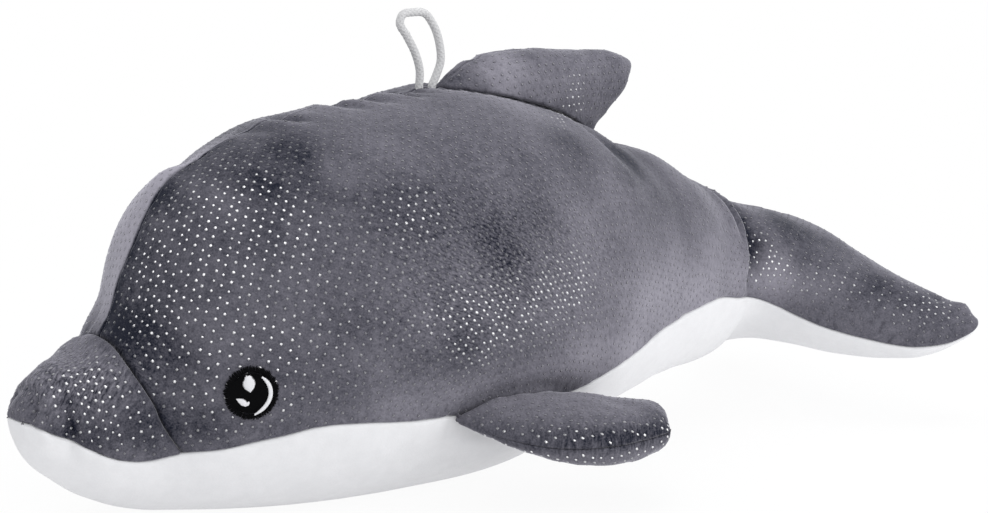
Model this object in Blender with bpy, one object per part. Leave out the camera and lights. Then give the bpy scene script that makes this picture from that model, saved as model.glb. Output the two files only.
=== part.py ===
# A plush dolphin lying on its belly. Units are metres, head toward -X, left flank toward -Y.
# The origin is on the table, in the middle of the flat of the belly.

import math

import bmesh
import bpy
import numpy as np

MM = 0.001

# Main sizes. The tables and places given in millimetres are a drawing that stretches to them.
BODY_LENGTH = 0.432  # from the tip of the beak to the middle of the flukes' rear edge
BODY_WIDTH = 0.148
BODY_HEIGHT = 0.161
FLUKE_SPAN = 0.190

# Cloth and seams
CLOTH = 0.0016  # velour panels with their backing
SEAM_GAP = 0.0004  # between the edges of two panels
STUFFING_GAP = 0.0012  # between a panel and the filling behind it
STUFFING_SLACK = 3.0  # how much wider than the cloth the filling is drawn in at a seam or crease
SEAT_GAP = 0.0003  # between a fin, a disc or the loop and the panel that it sits on

# Body. Each station is a section across the spine: its place along X, the heights of its top, of its
# widest point and of its underside above the table, its half width, the angle of the side seam below
# the widest point in degrees, and how far its outer end is swept back and drooped.
# The underside is below zero where the belly is pressed flat by the table.
BODY_STATIONS = (
    (-154, 66, 48, 21, 20, 0, 0, 0),
    (-140, 66, 48, 21, 20, -10, 0, 0),
    (-126, 76, 47, 14, 27, -17, 0, 0),
    (-114, 84, 48, 8, 30, -19, 0, 0),
    (-104, 104, 52, 5, 34, -20, 0, 0),
    (-90, 127, 59, 3, 45, -22, 0, 0),
    (-68, 142, 66, 0, 55, -21, 0, 0),
    (-36, 155, 72, -3, 65, -20, 0, 0),
    (10, 161, 75, -4, 73, -23, 0, 0),
    (60, 161, 76, -1, 74, -26, 0, 0),
    (100, 151, 77, 11, 67, -22, 0, 0),
    (135, 134, 77, 21, 55, -16, 0, 0),
    (165, 122, 74, 25, 44, -11, 0, 0),
    (190, 110, 68, 27, 34, -6, 0, 0),
    (206, 101, 62, 32, 33, -4, 0, 0),
)
FLUKE_STATIONS = (
    (221, 96, 63, 36, 50, -2, 4, -14),
    (238, 91, 63, 38, 66, -1, 4, -21),
    (255, 86, 62, 40, 80, 0, 5, -24),
    (268, 80, 61, 42, 89, 0, 9, -21),
    (278, 76, 60, 44, 95, 0, 15, -15),
)
NOSE_ROUND = 0.026  # length over which the beak rounds off
NOSE_PLAN = ((0, 0.30), (0.15, 0.62), (0.5, 0.88), (1, 1))  # share of that length, share of the width
TAIL_ROUND = 0.022  # length over which the flukes round off to their rear edge
TAIL_PLAN = ((0, 0.88), (0.12, 0.94), (0.45, 0.985), (1, 1))
WIDTH_POWER = 0.91  # 1 is an ellipse, less is boxier
BACK_POWER = 0.91
BELLY_POWER = 0.83
SWEEP_POWER = 1.15
DROOP_POWER = 1.3

# Seam behind the beak, with its places along X in the drawing
SNOUT_SEAM_TOP = -118
SNOUT_SEAM_SIDE = -100
SNOUT_SEAM_RUN = 110  # degrees from the top of the head down to the side seam
SNOUT_SEAM_BEND = 3  # how late the seam turns back on its way down the side
SNOUT_PINCH = 0.0022
SNOUT_PINCH_HALF = 0.004
SNOUT_PINCH_FADE = 25  # degrees above the side seam where the pinch reaches its full depth

# Creases of the cloth, with their places along X in the drawing
TAIL_CREASE_AT = 199
TAIL_CREASE = 0.0035
TAIL_CREASE_HALF = 0.005
FIN_FOLD_AT = 118
FIN_FOLD_ANGLE = 52
FIN_FOLD_SLANT = 0.0004  # metres back for each degree down
FIN_FOLD = 0.0030
FIN_FOLD_HALF = 0.008
FIN_FOLD_SPREAD = 17

# Back fin: its front and rear edge from root to tip in the middle plane of the drawing (X, Z)
FIN_FRONT = ((49, 164), (66, 173), (95, 177), (130, 174), (154, 169))
FIN_REAR = ((131, 137), (137, 142), (144, 147), (150, 153), (155, 160))
FIN_THICKNESS = 0.032
FIN_TAPER = (1, 0.94, 0.81, 0.69, 0.62)
FIN_ROUND = 0.24  # share of the span over which the tip rounds off

# Flippers: front and rear edge from root to tip in the drawing (X, Y out from the body's widest), height
FLIPPER_FRONT = ((10, -8), (22, 14), (36, 32), (54, 43), (76, 47))
FLIPPER_REAR = ((70, -8), (82, -1), (92, 9), (97, 21), (94, 34))
FLIPPER_HEIGHT = (36.5, 34, 32, 30.5, 30)
FLIPPER_THICKNESS = 0.023
FLIPPER_TAPER = (0.83, 0.91, 1, 1, 0.87)
FLIPPER_ROUND = 0.32

# Embroidered eyes, and their glints in shares of the eye's radius, back and up from its middle
EYE_AT = (-77.5, 58.5)  # X and Z in the drawing
EYE_RADIUS = 0.0107
EYE_THICKNESS = 0.0010
EYE_EDGE = 0.97  # how far the disc's upper face reaches towards its outline
EYE_CORE = 0.6
EYE_POINTS = 24
GLINT_THICKNESS = 0.0006
GLINT_POINTS = 12
GLINT_ROUND_AT = (-0.06, 0.39)
GLINT_ROUND_RADIUS = 0.25
GLINT_LEAF_AT = (-0.36, -0.28)
GLINT_LEAF_LENGTH = 0.47
GLINT_LEAF_WIDTH = 0.24
GLINT_LEAF_TURN = -32
GLINT_ARC_RADIUS = 0.69
GLINT_ARC_HALF_WIDTH = 0.103
GLINT_ARC_FROM = -68
GLINT_ARC_TO = 52
GLINT_ARC_POINTS = 9
GLINT_ARC_TIP = 0.2  # width of its ends as a share of its middle

# Hang loop: the route's own points in millimetres, back from the fin's front end and above the back
LOOP_DIAMETER = 0.0031
LOOP_ROUTE = ((-10, 0), (-9.5, 7), (-11.5, 15), (-15.5, 22), (-19, 28), (-18, 31.5), (-12.5, 33),
              (-6.5, 31), (-2, 25), (0.5, 17), (0, 10), (-2.5, 4), (-4, 0))
LOOP_STEP = 0.006

# How finely the cloth is divided
BODY_COLUMNS = 7  # from a side seam to the top or to the bottom
BODY_ROW_SPACING = 0.0115
BACK_ROW_SPACING = 0.0125
CREASE_CLEARANCE = 0.6  # share of a row spacing kept free beside the rows of the tail crease
NOSE_ROWS = 5
TAIL_ROWS = 4
SNOUT_ROWS = (0, 0.02, 0.06, 0.13, 0.24, 0.37, 0.52, 0.68, 0.82, 0.92, 1)  # shares of the beak's length
SEAM_ROWS = (0, 0.12, 0.3, 0.55, 0.8)  # how far the rows behind the beak seam have straightened
SEAM_ROWS_LENGTH = 0.016
PADDLE_ROWS = 4
PADDLE_COLUMNS = 8


# Curves through given points

def through(table, at, column=1):
    """The column of a table at a place, read from a smooth curve through its rows."""
    table = np.asarray(table, float)
    xs, ys = table[:, 0], table[:, column]
    at = np.clip(at, xs[0], xs[-1])
    slopes = np.gradient(ys, xs)
    i = np.clip(np.searchsorted(xs, at) - 1, 0, len(xs) - 2)
    step = xs[i + 1] - xs[i]
    t = (at - xs[i]) / step
    return (
        (1 + 2 * t) * (1 - t) ** 2 * ys[i]
        + t * (1 - t) ** 2 * step * slopes[i]
        + t * t * (3 - 2 * t) * ys[i + 1]
        + t * t * (t - 1) * step * slopes[i + 1]
    )


def quarter_round(share):
    """Height of a quarter of a circle, from 0 at its end to 1."""
    return np.sqrt(np.clip(1 - (1 - np.clip(share, 0, 1)) ** 2, 0, 1))


def dip(distance, half_width):
    return np.exp(-((distance / half_width) ** 2))


# Body surface

def drawing_scales():
    """Metres for each millimetre of the drawing: along, across body and flukes, and up."""
    body = np.array(BODY_STATIONS, float)
    flukes = np.array(FLUKE_STATIONS, float)
    along = BODY_LENGTH / (flukes[-1, 0] - body[0, 0])
    across = BODY_WIDTH / 2 / body[:, 4].max()
    across_flukes = FLUKE_SPAN / 2 / flukes[:, 4].max()
    return along, across, across_flukes, BODY_HEIGHT / body[:, 1].max()


ALONG, ACROSS, ACROSS_FLUKES, UPWARD = drawing_scales()


def stations():
    """The sections at the size of the toy, in metres and degrees."""
    widths = ((BODY_STATIONS, ACROSS), (FLUKE_STATIONS, ACROSS_FLUKES))
    parts = [
        np.array(table, float) * [ALONG, UPWARD, UPWARD, UPWARD, across, 1, ALONG, UPWARD]
        for table, across in widths
    ]
    return np.concatenate(parts)


BODY = stations()
NOSE_X = BODY[0, 0]
TAIL_X = BODY[-1, 0]


def seam_angle(x):
    return np.radians(through(BODY, x, 5))


def height_above_seam(x, angle):
    """The angle of a point above the side seam, on either side, in degrees."""
    return np.degrees(np.pi / 2 - np.abs(angle - np.pi / 2) - seam_angle(x))


def snout_seam(angle):
    """Place along X of the seam behind the beak, at an angle round the body."""
    below_top = np.abs(np.degrees(angle) - 90) / SNOUT_SEAM_RUN
    share = np.clip(below_top, 0, 1) ** SNOUT_SEAM_BEND
    return ALONG * (SNOUT_SEAM_TOP + (SNOUT_SEAM_SIDE - SNOUT_SEAM_TOP) * share)


def pinch(x, angle, slack=1.0):
    """How far seams and creases draw the surface in."""
    above = np.clip(height_above_seam(x, angle) / SNOUT_PINCH_FADE, 0, 1)
    up_the_side = 90 - np.abs(np.degrees(angle) - 90)
    fold_x = ALONG * FIN_FOLD_AT + FIN_FOLD_SLANT * (FIN_FOLD_ANGLE - up_the_side)
    return (
        SNOUT_PINCH * dip(x - snout_seam(angle), SNOUT_PINCH_HALF * slack) * above
        + TAIL_CREASE * dip(x - ALONG * TAIL_CREASE_AT, TAIL_CREASE_HALF * slack)
        + FIN_FOLD * dip(x - fold_x, FIN_FOLD_HALF) * dip(up_the_side - FIN_FOLD_ANGLE, FIN_FOLD_SPREAD)
    )


def body_point(x, angle, inset=0.0, slack=1.0):
    """The body at a place along the spine and an angle: 90 degrees is the top, 0 the left side.

    An inset gives the surface that lies that far inside the skin."""
    x, angle = np.broadcast_arrays(np.asarray(x, float), np.asarray(angle, float))
    top, middle, low, half, _, sweep, droop = (through(BODY, x, i) for i in range(1, 8))
    front = (x - NOSE_X) / NOSE_ROUND
    rear = (TAIL_X - x) / TAIL_ROUND
    rounding = quarter_round(front) * quarter_round(rear)
    plan = through(NOSE_PLAN, np.clip(front, 0, 1)) * through(TAIL_PLAN, np.clip(rear, 0, 1))
    inward = inset + pinch(x, angle, slack)
    across, upward = np.cos(angle), np.sin(angle)
    out = np.abs(across) ** WIDTH_POWER
    lift = np.where(
        upward >= 0,
        (top - middle - inward) * np.abs(upward) ** BACK_POWER,
        (inward - middle + low) * np.abs(upward) ** BELLY_POWER,
    )
    drawn_in = inset * (np.clip(1 - front, 0, 1) - np.clip(1 - rear, 0, 1))
    return np.stack(
        [
            x + drawn_in + sweep * out**SWEEP_POWER,
            -np.sign(across) * (half - inward) * plan * out,
            np.maximum(middle + droop * out**DROOP_POWER + lift * rounding, inset),
        ],
        -1,
    )


def back_height(x, y):
    """Height of the grey cloth on top of the body."""
    top, middle, _, half = (through(BODY, x, i) for i in range(1, 5))
    across = np.clip(np.abs(y) / half, 0, 1) ** (1 / WIDTH_POWER)
    return middle + (top - middle) * np.sqrt(1 - across**2) ** BACK_POWER + SEAM_GAP


def flank_width(x, z):
    """Distance of the flank from the middle plane."""
    top, middle, low, half = (through(BODY, x, i) for i in range(1, 5))
    above = z >= middle
    share = np.where(above, (z - middle) / (top - middle), (middle - z) / (middle - low))
    upward = np.clip(share, 0, 1) ** (1 / np.where(above, BACK_POWER, BELLY_POWER))
    return half * np.sqrt(1 - upward**2) ** WIDTH_POWER + SEAM_GAP / 2


def nose_rows():
    return NOSE_X + NOSE_ROUND * (1 - np.cos(np.linspace(0, np.pi / 2, NOSE_ROWS + 1)))


def tail_rows():
    return TAIL_X - TAIL_ROUND * (1 - np.cos(np.linspace(np.pi / 2, 0, TAIL_ROWS + 1)))


def spine_rows(start, finish, spacing):
    """Places along the spine, closer together at the tail crease."""
    rows = list(np.linspace(start, finish, max(2, round((finish - start) / spacing) + 1)))
    crease = [ALONG * TAIL_CREASE_AT + k * TAIL_CREASE_HALF for k in (-1, 0, 1)]
    near = CREASE_CLEARANCE * spacing
    rows = [x for x in rows if min(abs(x - c) for c in crease) > near or x in (start, finish)]
    inside = [c for c in crease if start + near < c < finish - near]
    return np.array(sorted(rows + inside))


# Mesh helpers

def principled(name, colour, roughness, sheen=0.0):
    material = bpy.data.materials.new(name)
    material.use_nodes = True
    shader = material.node_tree.nodes["Principled BSDF"]
    shader.inputs["Base Color"].default_value = (*colour, 1)
    shader.inputs["Roughness"].default_value = roughness
    shader.inputs["Metallic"].default_value = 0
    shader.inputs["Sheen Weight"].default_value = sheen
    material.diffuse_color = (*colour, 1)
    return material


def add_piece(name, mesh_data, material):
    mesh = bpy.data.meshes.new(name)
    mesh_data.to_mesh(mesh)
    mesh_data.free()
    mesh.materials.append(material)
    mesh.shade_smooth()
    mesh.set_sharp_from_angle(angle=math.radians(50))
    piece = bpy.data.objects.new(name, mesh)
    dolphin.objects.link(piece)
    return piece


def quads(bm, grid, around=False, flip=False):
    rows, columns = grid.shape[:2]
    vertices = [[bm.verts.new(grid[i, j]) for j in range(columns)] for i in range(rows)]
    for i in range(rows - 1):
        for j in range(columns if around else columns - 1):
            k = (j + 1) % columns
            face = [vertices[i][j], vertices[i + 1][j], vertices[i + 1][k], vertices[i][k]]
            bm.faces.new(face[::-1] if flip else face)
    return vertices


def weld(bm):
    bmesh.ops.remove_doubles(bm, verts=bm.verts, dist=1e-6)
    bmesh.ops.recalc_face_normals(bm, faces=bm.faces)
    if bm.calc_volume(signed=True) < 0:
        bmesh.ops.reverse_faces(bm, faces=bm.faces)


def cloth_panel(name, outer, inner, material):
    """A panel of cloth between its outer and its inner face, closed round its four edges."""
    bm = bmesh.new()
    skin = quads(bm, outer)
    lining = quads(bm, inner, flip=True)

    def border(v):
        return v[0] + [row[-1] for row in v[1:]] + v[-1][-2::-1] + [row[0] for row in v[-2:0:-1]]

    edge, inner_edge = border(skin), border(lining)
    for k in range(len(edge)):
        following = (k + 1) % len(edge)
        bm.faces.new([edge[following], edge[k], inner_edge[k], inner_edge[following]])
    weld(bm)
    return add_piece(name, bm, material)


def stuffed(name, rings, material):
    """A closed form through rings of points whose first and last ring fall together in a line."""
    bm = bmesh.new()
    quads(bm, rings, around=True)
    weld(bm)
    return add_piece(name, bm, material)


# Body panels and filling

def side_share(columns):
    return np.linspace(0, 1, columns + 1)[None]


def back_panel(name, side, material):
    """Half of the grey back, from the seam behind the beak to the rear edge of the flukes."""
    seam_low_end = ALONG * SNOUT_SEAM_SIDE
    start = seam_low_end + SEAM_ROWS_LENGTH
    spine = np.concatenate([spine_rows(start, TAIL_X - TAIL_ROUND, BACK_ROW_SPACING), tail_rows()[1:]])
    share = side_share(BODY_COLUMNS)
    low = seam_angle(seam_low_end)
    seam = snout_seam(low + (np.pi / 2 - low) * share) + SEAM_GAP / 2
    rows = [seam + (start - seam) * straight for straight in SEAM_ROWS]
    x = np.concatenate([*rows, np.repeat(spine[:, None], BODY_COLUMNS + 1, axis=1)])
    low = seam_angle(x)
    angle = low + (np.pi / 2 - low) * share
    if side > 0:
        angle = np.pi - angle
    shift = np.array([0, side * SEAM_GAP / 2, SEAM_GAP])
    faces = [body_point(x, angle, inset) + shift for inset in (0, CLOTH)]
    return cloth_panel(name, *faces, material)


def snout_panel(material):
    """The grey cap of the beak, in one piece from seam to seam over the top."""
    share = side_share(2 * BODY_COLUMNS)
    reach = np.array(SNOUT_ROWS)[:, None]
    guess = np.pi * share
    x = NOSE_X + (snout_seam(guess) - SEAM_GAP / 2 - NOSE_X) * reach
    low = seam_angle(x)
    angle = low + (np.pi - 2 * low) * share
    x = NOSE_X + (snout_seam(angle) - SEAM_GAP / 2 - NOSE_X) * reach
    shift = np.array([0, 0, SEAM_GAP])
    faces = [body_point(x, angle, inset) + shift for inset in (0, CLOTH)]
    return cloth_panel("snout_panel", *faces, material)


def body_rows():
    middle = spine_rows(NOSE_X + NOSE_ROUND, TAIL_X - TAIL_ROUND, BODY_ROW_SPACING)
    return np.concatenate([nose_rows()[:-1], middle, tail_rows()[1:]])[:, None]


def belly_panel(material):
    """The white underside of beak, belly and flukes."""
    x = body_rows()
    low = seam_angle(x)
    angle = low - (np.pi + 2 * low) * side_share(2 * BODY_COLUMNS)
    faces = [body_point(x, angle, inset) for inset in (0, CLOTH)]
    return cloth_panel("belly_panel", *faces, material)


def body_stuffing(material):
    """The filling, with its rings divided as the panels round it are."""
    x = body_rows()
    low = seam_angle(x)
    back = low + (np.pi - 2 * low) * side_share(2 * BODY_COLUMNS)
    belly = low - (np.pi + 2 * low) * side_share(2 * BODY_COLUMNS)
    angle = np.concatenate([back[:, :-1], belly[:, :0:-1]], axis=1)
    rings = body_point(x, angle, CLOTH + STUFFING_GAP, STUFFING_SLACK)
    return stuffed("body_stuffing", rings, material)


# Fins and flippers

def paddle_point(form, along, angle, inset=0.0):
    """A fin between its front edge (angle 0) and its rear edge (180 degrees), thick along its normal.

    The form holds its edges from root to tip, and a function that seats a point on the body."""
    along, angle = np.broadcast_arrays(np.asarray(along, float), np.asarray(angle, float))
    reach = along * (1 - inset / form["span"])
    places = np.linspace(0, 1, len(form["front"]))
    front, rear = (
        np.stack([through(np.column_stack([places, edge]), reach, k) for k in (1, 2, 3)], -1)
        for edge in (form["front"], form["rear"])
    )
    thickness = through(np.column_stack([places, form["half_thickness"]]), reach)
    rounding = quarter_round((1 - along) / form["round"])
    middle, chord = (front + rear) / 2, (front - rear) / 2
    half_chord = np.linalg.norm(chord, axis=-1)
    across, upward = np.cos(angle), np.sin(angle)
    out = np.sign(across) * np.abs(across) ** WIDTH_POWER
    lift = np.sign(upward) * np.abs(upward) ** BACK_POWER
    shorter = (1 - inset / half_chord) * rounding * out
    return (
        middle
        + chord * shorter[..., None]
        + np.array(form["normal"]) * ((thickness - inset) * rounding * lift)[..., None]
    )


def seated(form, along, angle, inset, root_gap, squeeze=1.0):
    """The same points, with the root carried onto the body's surface."""
    along, angle = np.broadcast_arrays(np.asarray(along, float), np.asarray(angle, float))
    points = paddle_point(form, along, angle, inset)
    root = paddle_point(form, np.zeros_like(along), angle, inset)
    if squeeze != 1.0:
        flat = np.array(form["normal"]) * ((root - form["root_middle"]) @ form["normal"])[..., None]
        root = root - flat * (1 - squeeze)
        points = points - flat * (1 - squeeze)
    on_body = form["seat"](root, root_gap)
    return points + (on_body - root) * ((1 - along) ** 2)[..., None]


def paddle_form(front, rear, thickness, taper, rounding, normal, seat):
    root_middle = (front[0] + rear[0]) / 2
    return {
        "front": front,
        "rear": rear,
        "half_thickness": thickness / 2 * np.array(taper),
        "round": rounding,
        "span": float(np.linalg.norm(front[-1] - root_middle)),
        "normal": normal,
        "root_middle": root_middle,
        "seat": seat,
    }


def fin_form():
    def edge(points):
        return np.array([(ALONG * x, 0, UPWARD * z) for x, z in points])

    def seat(points, gap):
        on_body = points.copy()
        on_body[..., 2] = back_height(points[..., 0], points[..., 1]) + gap
        return on_body

    normal = (0.0, -1.0, 0.0)
    return paddle_form(edge(FIN_FRONT), edge(FIN_REAR), FIN_THICKNESS, FIN_TAPER, FIN_ROUND, normal, seat)


def flipper_form(side):
    def edge(points):
        rows = zip(points, FLIPPER_HEIGHT, strict=True)
        points = [(ALONG * x, BODY_WIDTH / 2 + ACROSS * y, UPWARD * z) for (x, y), z in rows]
        return np.array(points) * [1, side, 1]

    def seat(points, gap):
        on_body = points.copy()
        on_body[..., 1] = side * (flank_width(points[..., 0], points[..., 2]) + gap)
        return on_body

    edges = edge(FLIPPER_FRONT), edge(FLIPPER_REAR)
    return paddle_form(*edges, FLIPPER_THICKNESS, FLIPPER_TAPER, FLIPPER_ROUND, (0.0, 0.0, 1.0), seat)


def paddle_rows(form, steps):
    body = np.linspace(0, 1 - form["round"], steps + 1)
    tip = 1 - form["round"] * (1 - np.sin(np.linspace(0, np.pi / 2, steps)))
    return np.concatenate([body, tip[1:]])[:, None]


def paddle_panel(name, form, face, material):
    """One face of a fin, from its front edge over the middle to its rear edge."""
    along = paddle_rows(form, PADDLE_ROWS)
    angle = face * np.linspace(0, np.pi, PADDLE_COLUMNS + 1)[None]
    shift = np.array(form["normal"]) * face * SEAM_GAP / 2
    faces = [seated(form, along, angle, inset, SEAT_GAP) + shift for inset in (0, CLOTH)]
    return cloth_panel(name, *faces, material)


def paddle_stuffing(name, form, material):
    """The filling of a fin, with a flat root that is closed from its middle line outward."""
    inset = CLOTH + STUFFING_GAP
    angle = np.pi / PADDLE_COLUMNS * np.arange(2 * PADDLE_COLUMNS)[None]
    root = [seated(form, [[0.0]], angle, inset, SEAT_GAP, squeeze) for squeeze in (0.0, 0.5)]
    rest = seated(form, paddle_rows(form, PADDLE_ROWS), angle, inset, SEAT_GAP)
    return stuffed(name, np.concatenate([*root, rest]), material)


# Eyes

def eye_frame(side):
    """The middle of the eye on the cloth, with the directions back, up and outward there."""
    def on_flank(x, z):
        return np.array([x, side * flank_width(x, z), z])

    x, z = ALONG * EYE_AT[0], UPWARD * EYE_AT[1]
    back = on_flank(x + EYE_RADIUS, z) - on_flank(x - EYE_RADIUS, z)
    back /= np.linalg.norm(back)
    outward = np.cross(back, on_flank(x, z + EYE_RADIUS) - on_flank(x, z - EYE_RADIUS))
    outward *= side * np.sign(outward[1]) / np.linalg.norm(outward)
    up = np.cross(outward, back)
    return on_flank(x, z), back, up * np.sign(up[2]), outward


def on_cloth(side, flat, lift):
    """Points given back and up from the middle of the eye, carried onto the cloth and raised off it."""
    middle, back, up, outward = eye_frame(side)
    points = middle + flat[:, :1] * back + flat[:, 1:] * up
    points[:, 1] = side * flank_width(points[:, 0], points[:, 2])
    return points + outward * lift


def thread_patch(name, side, outline, height, thickness, material):
    """A flat patch of thread that follows the cloth, from an outline in the plane of the eye."""
    core = outline.mean(axis=0)
    low, high = height, height + thickness
    section = ((0, low), (EYE_CORE, low), (1, low), (EYE_EDGE, high), (EYE_CORE, high), (0, high))
    rings = [on_cloth(side, core + (outline - core) * scale, lift) for scale, lift in section]
    return stuffed(name, np.array(rings), material)


def arc_patch(name, side, height, material):
    """The curved glint, as a strip between its outer and its inner line."""
    turn = np.radians(np.linspace(GLINT_ARC_FROM, GLINT_ARC_TO, GLINT_ARC_POINTS))
    taper = np.sqrt(np.clip(1 - np.linspace(-1, 1, GLINT_ARC_POINTS) ** 2, GLINT_ARC_TIP**2, 1))
    radii = [EYE_RADIUS * (GLINT_ARC_RADIUS + k * GLINT_ARC_HALF_WIDTH * taper) for k in (1, -1)]
    outer, inner = (np.column_stack([r * np.cos(turn), r * np.sin(turn)]) for r in radii)
    low, high = height, height + GLINT_THICKNESS
    section = ((outer, low), (outer, high), (inner, high), (inner, low))
    lines = [on_cloth(side, flat, lift) for flat, lift in section]
    bm = bmesh.new()
    vertices = quads(bm, np.array(lines).transpose(1, 0, 2), around=True)
    for ring in (vertices[0], vertices[-1]):
        bm.faces.new(ring)
    weld(bm)
    return add_piece(name, bm, material)


def ellipse(at, length, width, turn, points):
    """Outline of an ellipse in the plane of the eye, from shares of the eye's radius."""
    t = np.linspace(0, 2 * np.pi, points, endpoint=False)
    a = math.radians(turn)
    u, v = length / 2 * np.cos(t), width / 2 * np.sin(t)
    back = at[0] + u * math.cos(a) - v * math.sin(a)
    up = at[1] + u * math.sin(a) + v * math.cos(a)
    return EYE_RADIUS * np.column_stack([back, up])


def eye(side_name, side, black, white):
    prefix = f"eye_{side_name}"
    lift = SEAM_GAP + SEAT_GAP
    thread_patch(prefix, side, ellipse((0, 0), 2, 2, 0, EYE_POINTS), lift, EYE_THICKNESS, black)
    lift += EYE_THICKNESS + SEAT_GAP
    width = 2 * GLINT_ROUND_RADIUS
    blob = ellipse(GLINT_ROUND_AT, width, width, 0, GLINT_POINTS)
    thread_patch(f"{prefix}_glint_round", side, blob, lift, GLINT_THICKNESS, white)
    leaf = ellipse(GLINT_LEAF_AT, GLINT_LEAF_LENGTH, GLINT_LEAF_WIDTH, GLINT_LEAF_TURN, GLINT_POINTS)
    thread_patch(f"{prefix}_glint_leaf", side, leaf, lift, GLINT_THICKNESS, white)
    arc_patch(f"{prefix}_glint_arc", side, lift, white)


# Hang loop

def hang_loop(material):
    """A cord from the back seam up and back into it, standing just ahead of the fin."""
    route = np.array([(x, 0, height) for x, height in LOOP_ROUTE]) * MM
    route[:, 0] += ALONG * FIN_FRONT[0][0]
    ground = back_height(route[:, 0], 0.0) + SEAT_GAP + SEAM_GAP
    route[:, 2] += ground[0] + (ground[-1] - ground[0]) * np.linspace(0, 1, len(route))
    distance = np.concatenate([[0], np.cumsum(np.linalg.norm(np.diff(route, axis=0), axis=1))])
    count = round(distance[-1] / LOOP_STEP)
    at = np.linspace(0, distance[-1], count + 1)
    points = np.column_stack([through(np.column_stack([distance, route[:, k]]), at) for k in range(3)])
    curve = bpy.data.curves.new("hang_loop", "CURVE")
    curve.dimensions = "3D"
    curve.bevel_depth = LOOP_DIAMETER / 2
    curve.bevel_resolution = 2
    curve.use_fill_caps = True
    spline = curve.splines.new("POLY")
    spline.points.add(len(points) - 1)
    for place, point in zip(spline.points, points, strict=True):
        place.co = (*point, 1)
    curve.materials.append(material)
    loop = bpy.data.objects.new("hang_loop", curve)
    dolphin.objects.link(loop)
    return loop


for thing in list(bpy.data.objects):
    bpy.data.objects.remove(thing)
dolphin = bpy.data.collections.new("plush_dolphin")
bpy.context.scene.collection.children.link(dolphin)

grey_velour = principled("grey_velour", (0.165, 0.16, 0.19), 0.85, 0.4)
white_velour = principled("white_velour", (0.83, 0.83, 0.86), 0.9, 0.3)
fibre = principled("fibre", (0.85, 0.85, 0.83), 1.0)
black_thread = principled("black_thread", (0.012, 0.012, 0.014), 0.45)
white_thread = principled("white_thread", (0.8, 0.8, 0.82), 0.5)
white_cord = principled("white_cord", (0.82, 0.82, 0.82), 0.7)

back_panel("back_panel_left", -1, grey_velour)
back_panel("back_panel_right", 1, grey_velour)
snout_panel(grey_velour)
belly_panel(white_velour)
body_stuffing(fibre)

fin = fin_form()
paddle_panel("dorsal_fin_left", fin, 1, grey_velour)
paddle_panel("dorsal_fin_right", fin, -1, grey_velour)
paddle_stuffing("dorsal_fin_stuffing", fin, fibre)

for side_name, side in (("left", -1), ("right", 1)):
    flipper = flipper_form(side)
    paddle_panel(f"flipper_{side_name}_upper", flipper, 1, grey_velour)
    paddle_panel(f"flipper_{side_name}_under", flipper, -1, grey_velour)
    paddle_stuffing(f"flipper_{side_name}_stuffing", flipper, fibre)
    eye(side_name, side, black_thread, white_thread)

hang_loop(white_cord)
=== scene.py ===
import math

import bpy
import numpy as np
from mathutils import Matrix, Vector


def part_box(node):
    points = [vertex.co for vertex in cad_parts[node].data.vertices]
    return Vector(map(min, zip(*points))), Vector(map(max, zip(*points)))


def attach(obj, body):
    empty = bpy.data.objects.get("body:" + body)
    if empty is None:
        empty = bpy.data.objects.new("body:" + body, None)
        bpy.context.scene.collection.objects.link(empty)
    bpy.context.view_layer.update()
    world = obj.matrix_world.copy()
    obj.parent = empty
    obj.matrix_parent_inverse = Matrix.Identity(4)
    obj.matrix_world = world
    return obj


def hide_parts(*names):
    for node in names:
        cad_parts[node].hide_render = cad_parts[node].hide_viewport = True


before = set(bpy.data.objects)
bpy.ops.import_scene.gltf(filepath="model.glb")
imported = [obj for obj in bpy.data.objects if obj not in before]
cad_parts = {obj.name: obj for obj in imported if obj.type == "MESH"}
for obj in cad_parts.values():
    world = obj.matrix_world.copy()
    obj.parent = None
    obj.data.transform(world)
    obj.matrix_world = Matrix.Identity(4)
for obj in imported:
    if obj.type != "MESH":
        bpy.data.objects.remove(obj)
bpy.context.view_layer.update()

# Plush dolphin: grey velour with foil dots over fibre filling, white belly, embroidered eyes, braided loop.
# Metres, head toward -X, left flank toward -Y, table at Z = 0. The drawing's own numbers are millimetres.

mm = 0.001


# camera

view = {
    "azimuth": -36.8,
    "elevation": 10.7,
    "distance": 1.167,
    "target": (0.0784, 0, 0.0865),
    "focalPixels": 2684,
    "imagePixels": 988,
    "sensor": 36,
}


def addObject(name, data):
    thing = bpy.data.objects.new(name, data)
    bpy.context.scene.collection.objects.link(thing)
    return thing


def addCamera():
    turn, tilt = math.radians(view["azimuth"]), math.radians(view["elevation"])
    back = Vector((math.sin(turn) * math.cos(tilt), -math.cos(turn) * math.cos(tilt), math.sin(tilt)))
    camera = addObject("camera", bpy.data.cameras.new("camera"))
    camera.data.sensor_width = view["sensor"]
    camera.data.lens = view["sensor"] * view["focalPixels"] / view["imagePixels"]
    camera.location = Vector(view["target"]) + back * view["distance"]
    camera.rotation_euler = back.to_track_quat("Z", "Y").to_euler()
    bpy.context.scene.camera = camera


addCamera()
bpy.context.scene.view_settings.view_transform = "Standard"
print("camera set")


# shader maths

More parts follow.
